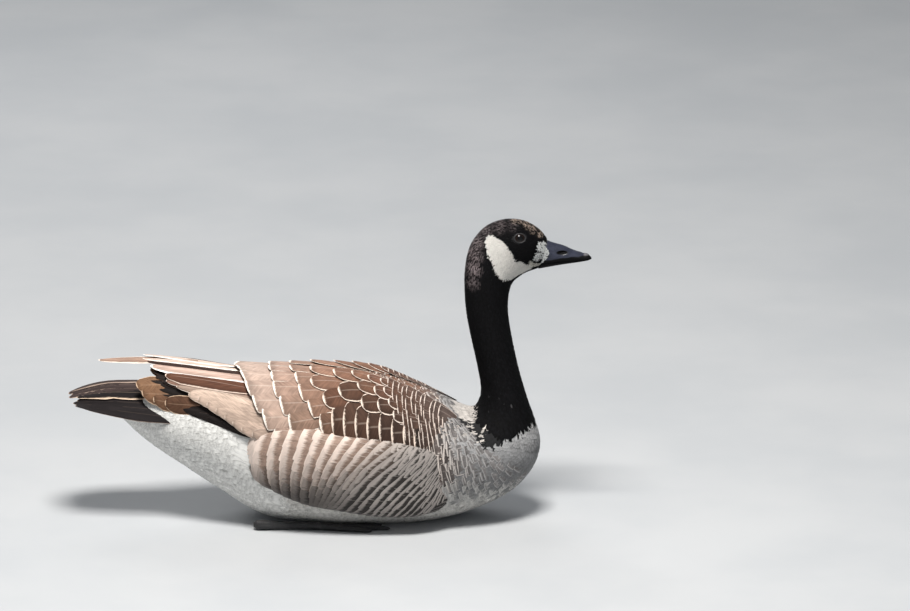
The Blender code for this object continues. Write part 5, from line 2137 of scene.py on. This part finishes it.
@dataclass
class Eye:
    """One eye and its ring of lids."""

    side: Side
    centre: tuple[float, float, float] = (0.2370, 0.0146, 0.3640)
    facing: tuple[float, float, float] = (0.15, 0.93, 0.33)
    radius: float = 0.0080
    ring_radius: float = 0.0061
    ring_thickness: float = 0.00070
    ring_out: float = 0.0060
    opening: tuple[float, float, float] = (1.14, 0.92, 1.3)

    def build(self, lid_finish: Material) -> None:
        """Makes the eyeball and the lids.

        Args:
            lid_finish: The lids' material.
        """
        sign = self.side.value
        centre = Vector((self.centre[0], sign * self.centre[1], self.centre[2]))
        facing = Vector((self.facing[0], sign * self.facing[1], self.facing[2])).normalized()
        turned = facing.to_track_quat("Z", "Y").to_euler()
        deselect()
        bpy.ops.mesh.primitive_uv_sphere_add(
            segments=48, ring_count=32, radius=self.radius, location=centre, rotation=turned
        )
        ball = bpy.context.object
        ball.name = f"eyeball_{self.side.word}"
        finish = EyeFinish(f"eye_gloss_{self.side.word}", tuple(centre), tuple(facing), self.radius)
        settle(ball, finish.material())
        stand_for(ball, "eye_gloss", f"eye_{self.side.word}")
        bpy.ops.mesh.primitive_torus_add(
            major_segments=64, minor_segments=14,
            major_radius=self.ring_radius, minor_radius=self.ring_thickness,
            location=centre + facing * self.ring_out, rotation=turned,
        )
        lid = bpy.context.object
        lid.name = f"eyelids_{self.side.word}"
        lid.scale = self.opening
        settle(lid, lid_finish)
        stand_for(lid, "leg_skin")


@dataclass
class Studio:
    """The pale floor, the soft light and the camera at the photo's viewing angle."""

    target: tuple[float, float, float] = (0.157, 0.0, 0.273)
    elevation: float = 16.0
    distance: float = 12.0
    width: float = 1.1375

    def build(self) -> None:
        """Makes the floor, lights, world and camera."""
        deselect()
        bpy.ops.mesh.primitive_plane_add(size=60.0, location=(0, 0, 0))
        floor = bpy.context.object
        floor.name = "studio_floor"
        finish = PlainFinish("floor_finish", shade(178, 181, 184), shade(186, 188, 190), 3.0, 0.8, 0.0)
        floor.data.materials.append(finish.material())
        self.light("key", (0.0, -1.1, 2.8), 0.8, 128.0, (1.0, 0.975, 0.94))
        self.light("fill", (1.6, -2.8, 1.2), 2.4, 6.0, (0.93, 0.96, 1.0))
        self.light("rim", (-0.6, 2.4, 2.0), 1.8, 30.0, WHITE)
        world = bpy.data.worlds.new("studio")
        world.use_nodes = True
        backdrop = world.node_tree.nodes["Background"]
        backdrop.inputs["Color"].default_value = (0.86, 0.90, 0.95, 1.0)
        backdrop.inputs["Strength"].default_value = 0.22
        bpy.context.scene.world = world
        bpy.context.scene.view_settings.view_transform = "Standard"
        self.camera()

    def light(
        self, name: str, place: tuple[float, float, float], size: float, power: float, colour: Colour
    ) -> None:
        """Adds an area light aimed at the bird.

        Args:
            name: Its name.
            place: Where it stands.
            size: Its width in metres.
            power: Its power in watts.
            colour: Its colour.
        """
        data = bpy.data.lights.new(name, "AREA")
        data.size, data.energy, data.color = size, power, colour
        lamp = bpy.data.objects.new(name, data)
        lamp.location = place
        aim = Vector((0.0, 0.0, 0.15)) - Vector(place)
        lamp.rotation_euler = aim.to_track_quat("-Z", "Y").to_euler()
        bpy.context.scene.collection.objects.link(lamp)

    def camera(self) -> None:
        """Sets the camera side-on, a little above the bird, with a long lens."""
        data = bpy.data.cameras.new("camera")
        data.sensor_width = 36.0
        data.lens = data.sensor_width * self.distance / self.width
        data.clip_end = 200.0
        camera = bpy.data.objects.new("camera", data)
        rise = math.radians(self.elevation)
        back = Vector((0.0, -math.cos(rise), math.sin(rise)))
        camera.location = Vector(self.target) + back * self.distance
        camera.rotation_euler = (-back).to_track_quat("-Z", "Y").to_euler()
        bpy.context.scene.collection.objects.link(camera)
        bpy.context.scene.camera = camera


def main() -> None:
    """Loads the frame and builds each part of the goose round it."""
    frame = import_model()
    deselect()
    body, markings = BodySurface(), Markings()
    vane = vane_group()
    looks = (
        VaneFinish("white_down", vane, 14.0, 0.0, 0.70, 0.15, 0.0002, strands=5.0, downy=0.8, contrast=0.3),
        VaneFinish("breast_down", vane, 14.0, 0.05, 0.70, 0.15, 0.0002, strands=6.0, downy=0.7, contrast=0.6),
        VaneFinish(
            "black_velvet", vane, 14.0, 0.0, 0.75, 0.0, 0.0001, strands=4.0, downy=0.8, contrast=0.6,
            specular=0.12,
        ),
        VaneFinish(
            "flank_bars", vane, 26.0, 0.05, 0.66, 0.12, 0.0003, strands=18.0, downy=0.7, ragged=1.7,
            contrast=0.9,
        ),
        VaneFinish("wing_vanes", vane, 42.0, 0.15, 0.66, 0.03, 0.0003, strands=20.0, ragged=2.0, specular=0.14),
        VaneFinish("tail_vanes", vane, 80.0, 0.10, 0.66, 0.0, 0.0002, strands=20.0, specular=0.10),
    )
    small, soft, velvet, barred, flight, glossy = (look.material() for look in looks)
    finishes = {"rump_coat": small, "body_coat": soft, "neck_coat": velvet, "head_coat": velvet}
    horn = BillFinish("bill_horn_finish", Bill.nostril, Bill.nostril_radii).material()
    lids = PlainFinish("lid_skin", shade(24, 24, 26), shade(46, 45, 46), 700.0, 0.45, 0.0001).material()
    scales = PlainFinish("leg_scales", shade(30, 30, 32), shade(54, 53, 54), 120.0, 0.5, 0.0003, cells=420.0)
    legs = scales.material()
    Skin(body, markings).build()
    BodyCoat(body, markings).build(finishes)
    ShoulderCoat(body).build(flight)
    for side in Side:
        FlankCoat(side).build(barred)
        Wing(side).build(flight)
        Eye(side).build(lids)
        leg = frame["nodes"][f"leg_{side.word}"]
        for slot in leg.material_slots:
            slot.material = legs
        LOG.info("%s: dressed", leg.name)
    Tail().build(glossy)
    Bill().build(horn)
    LoreCoat(Bill()).build(velvet)
    Studio().build()


if __name__ == "__main__":
    main()
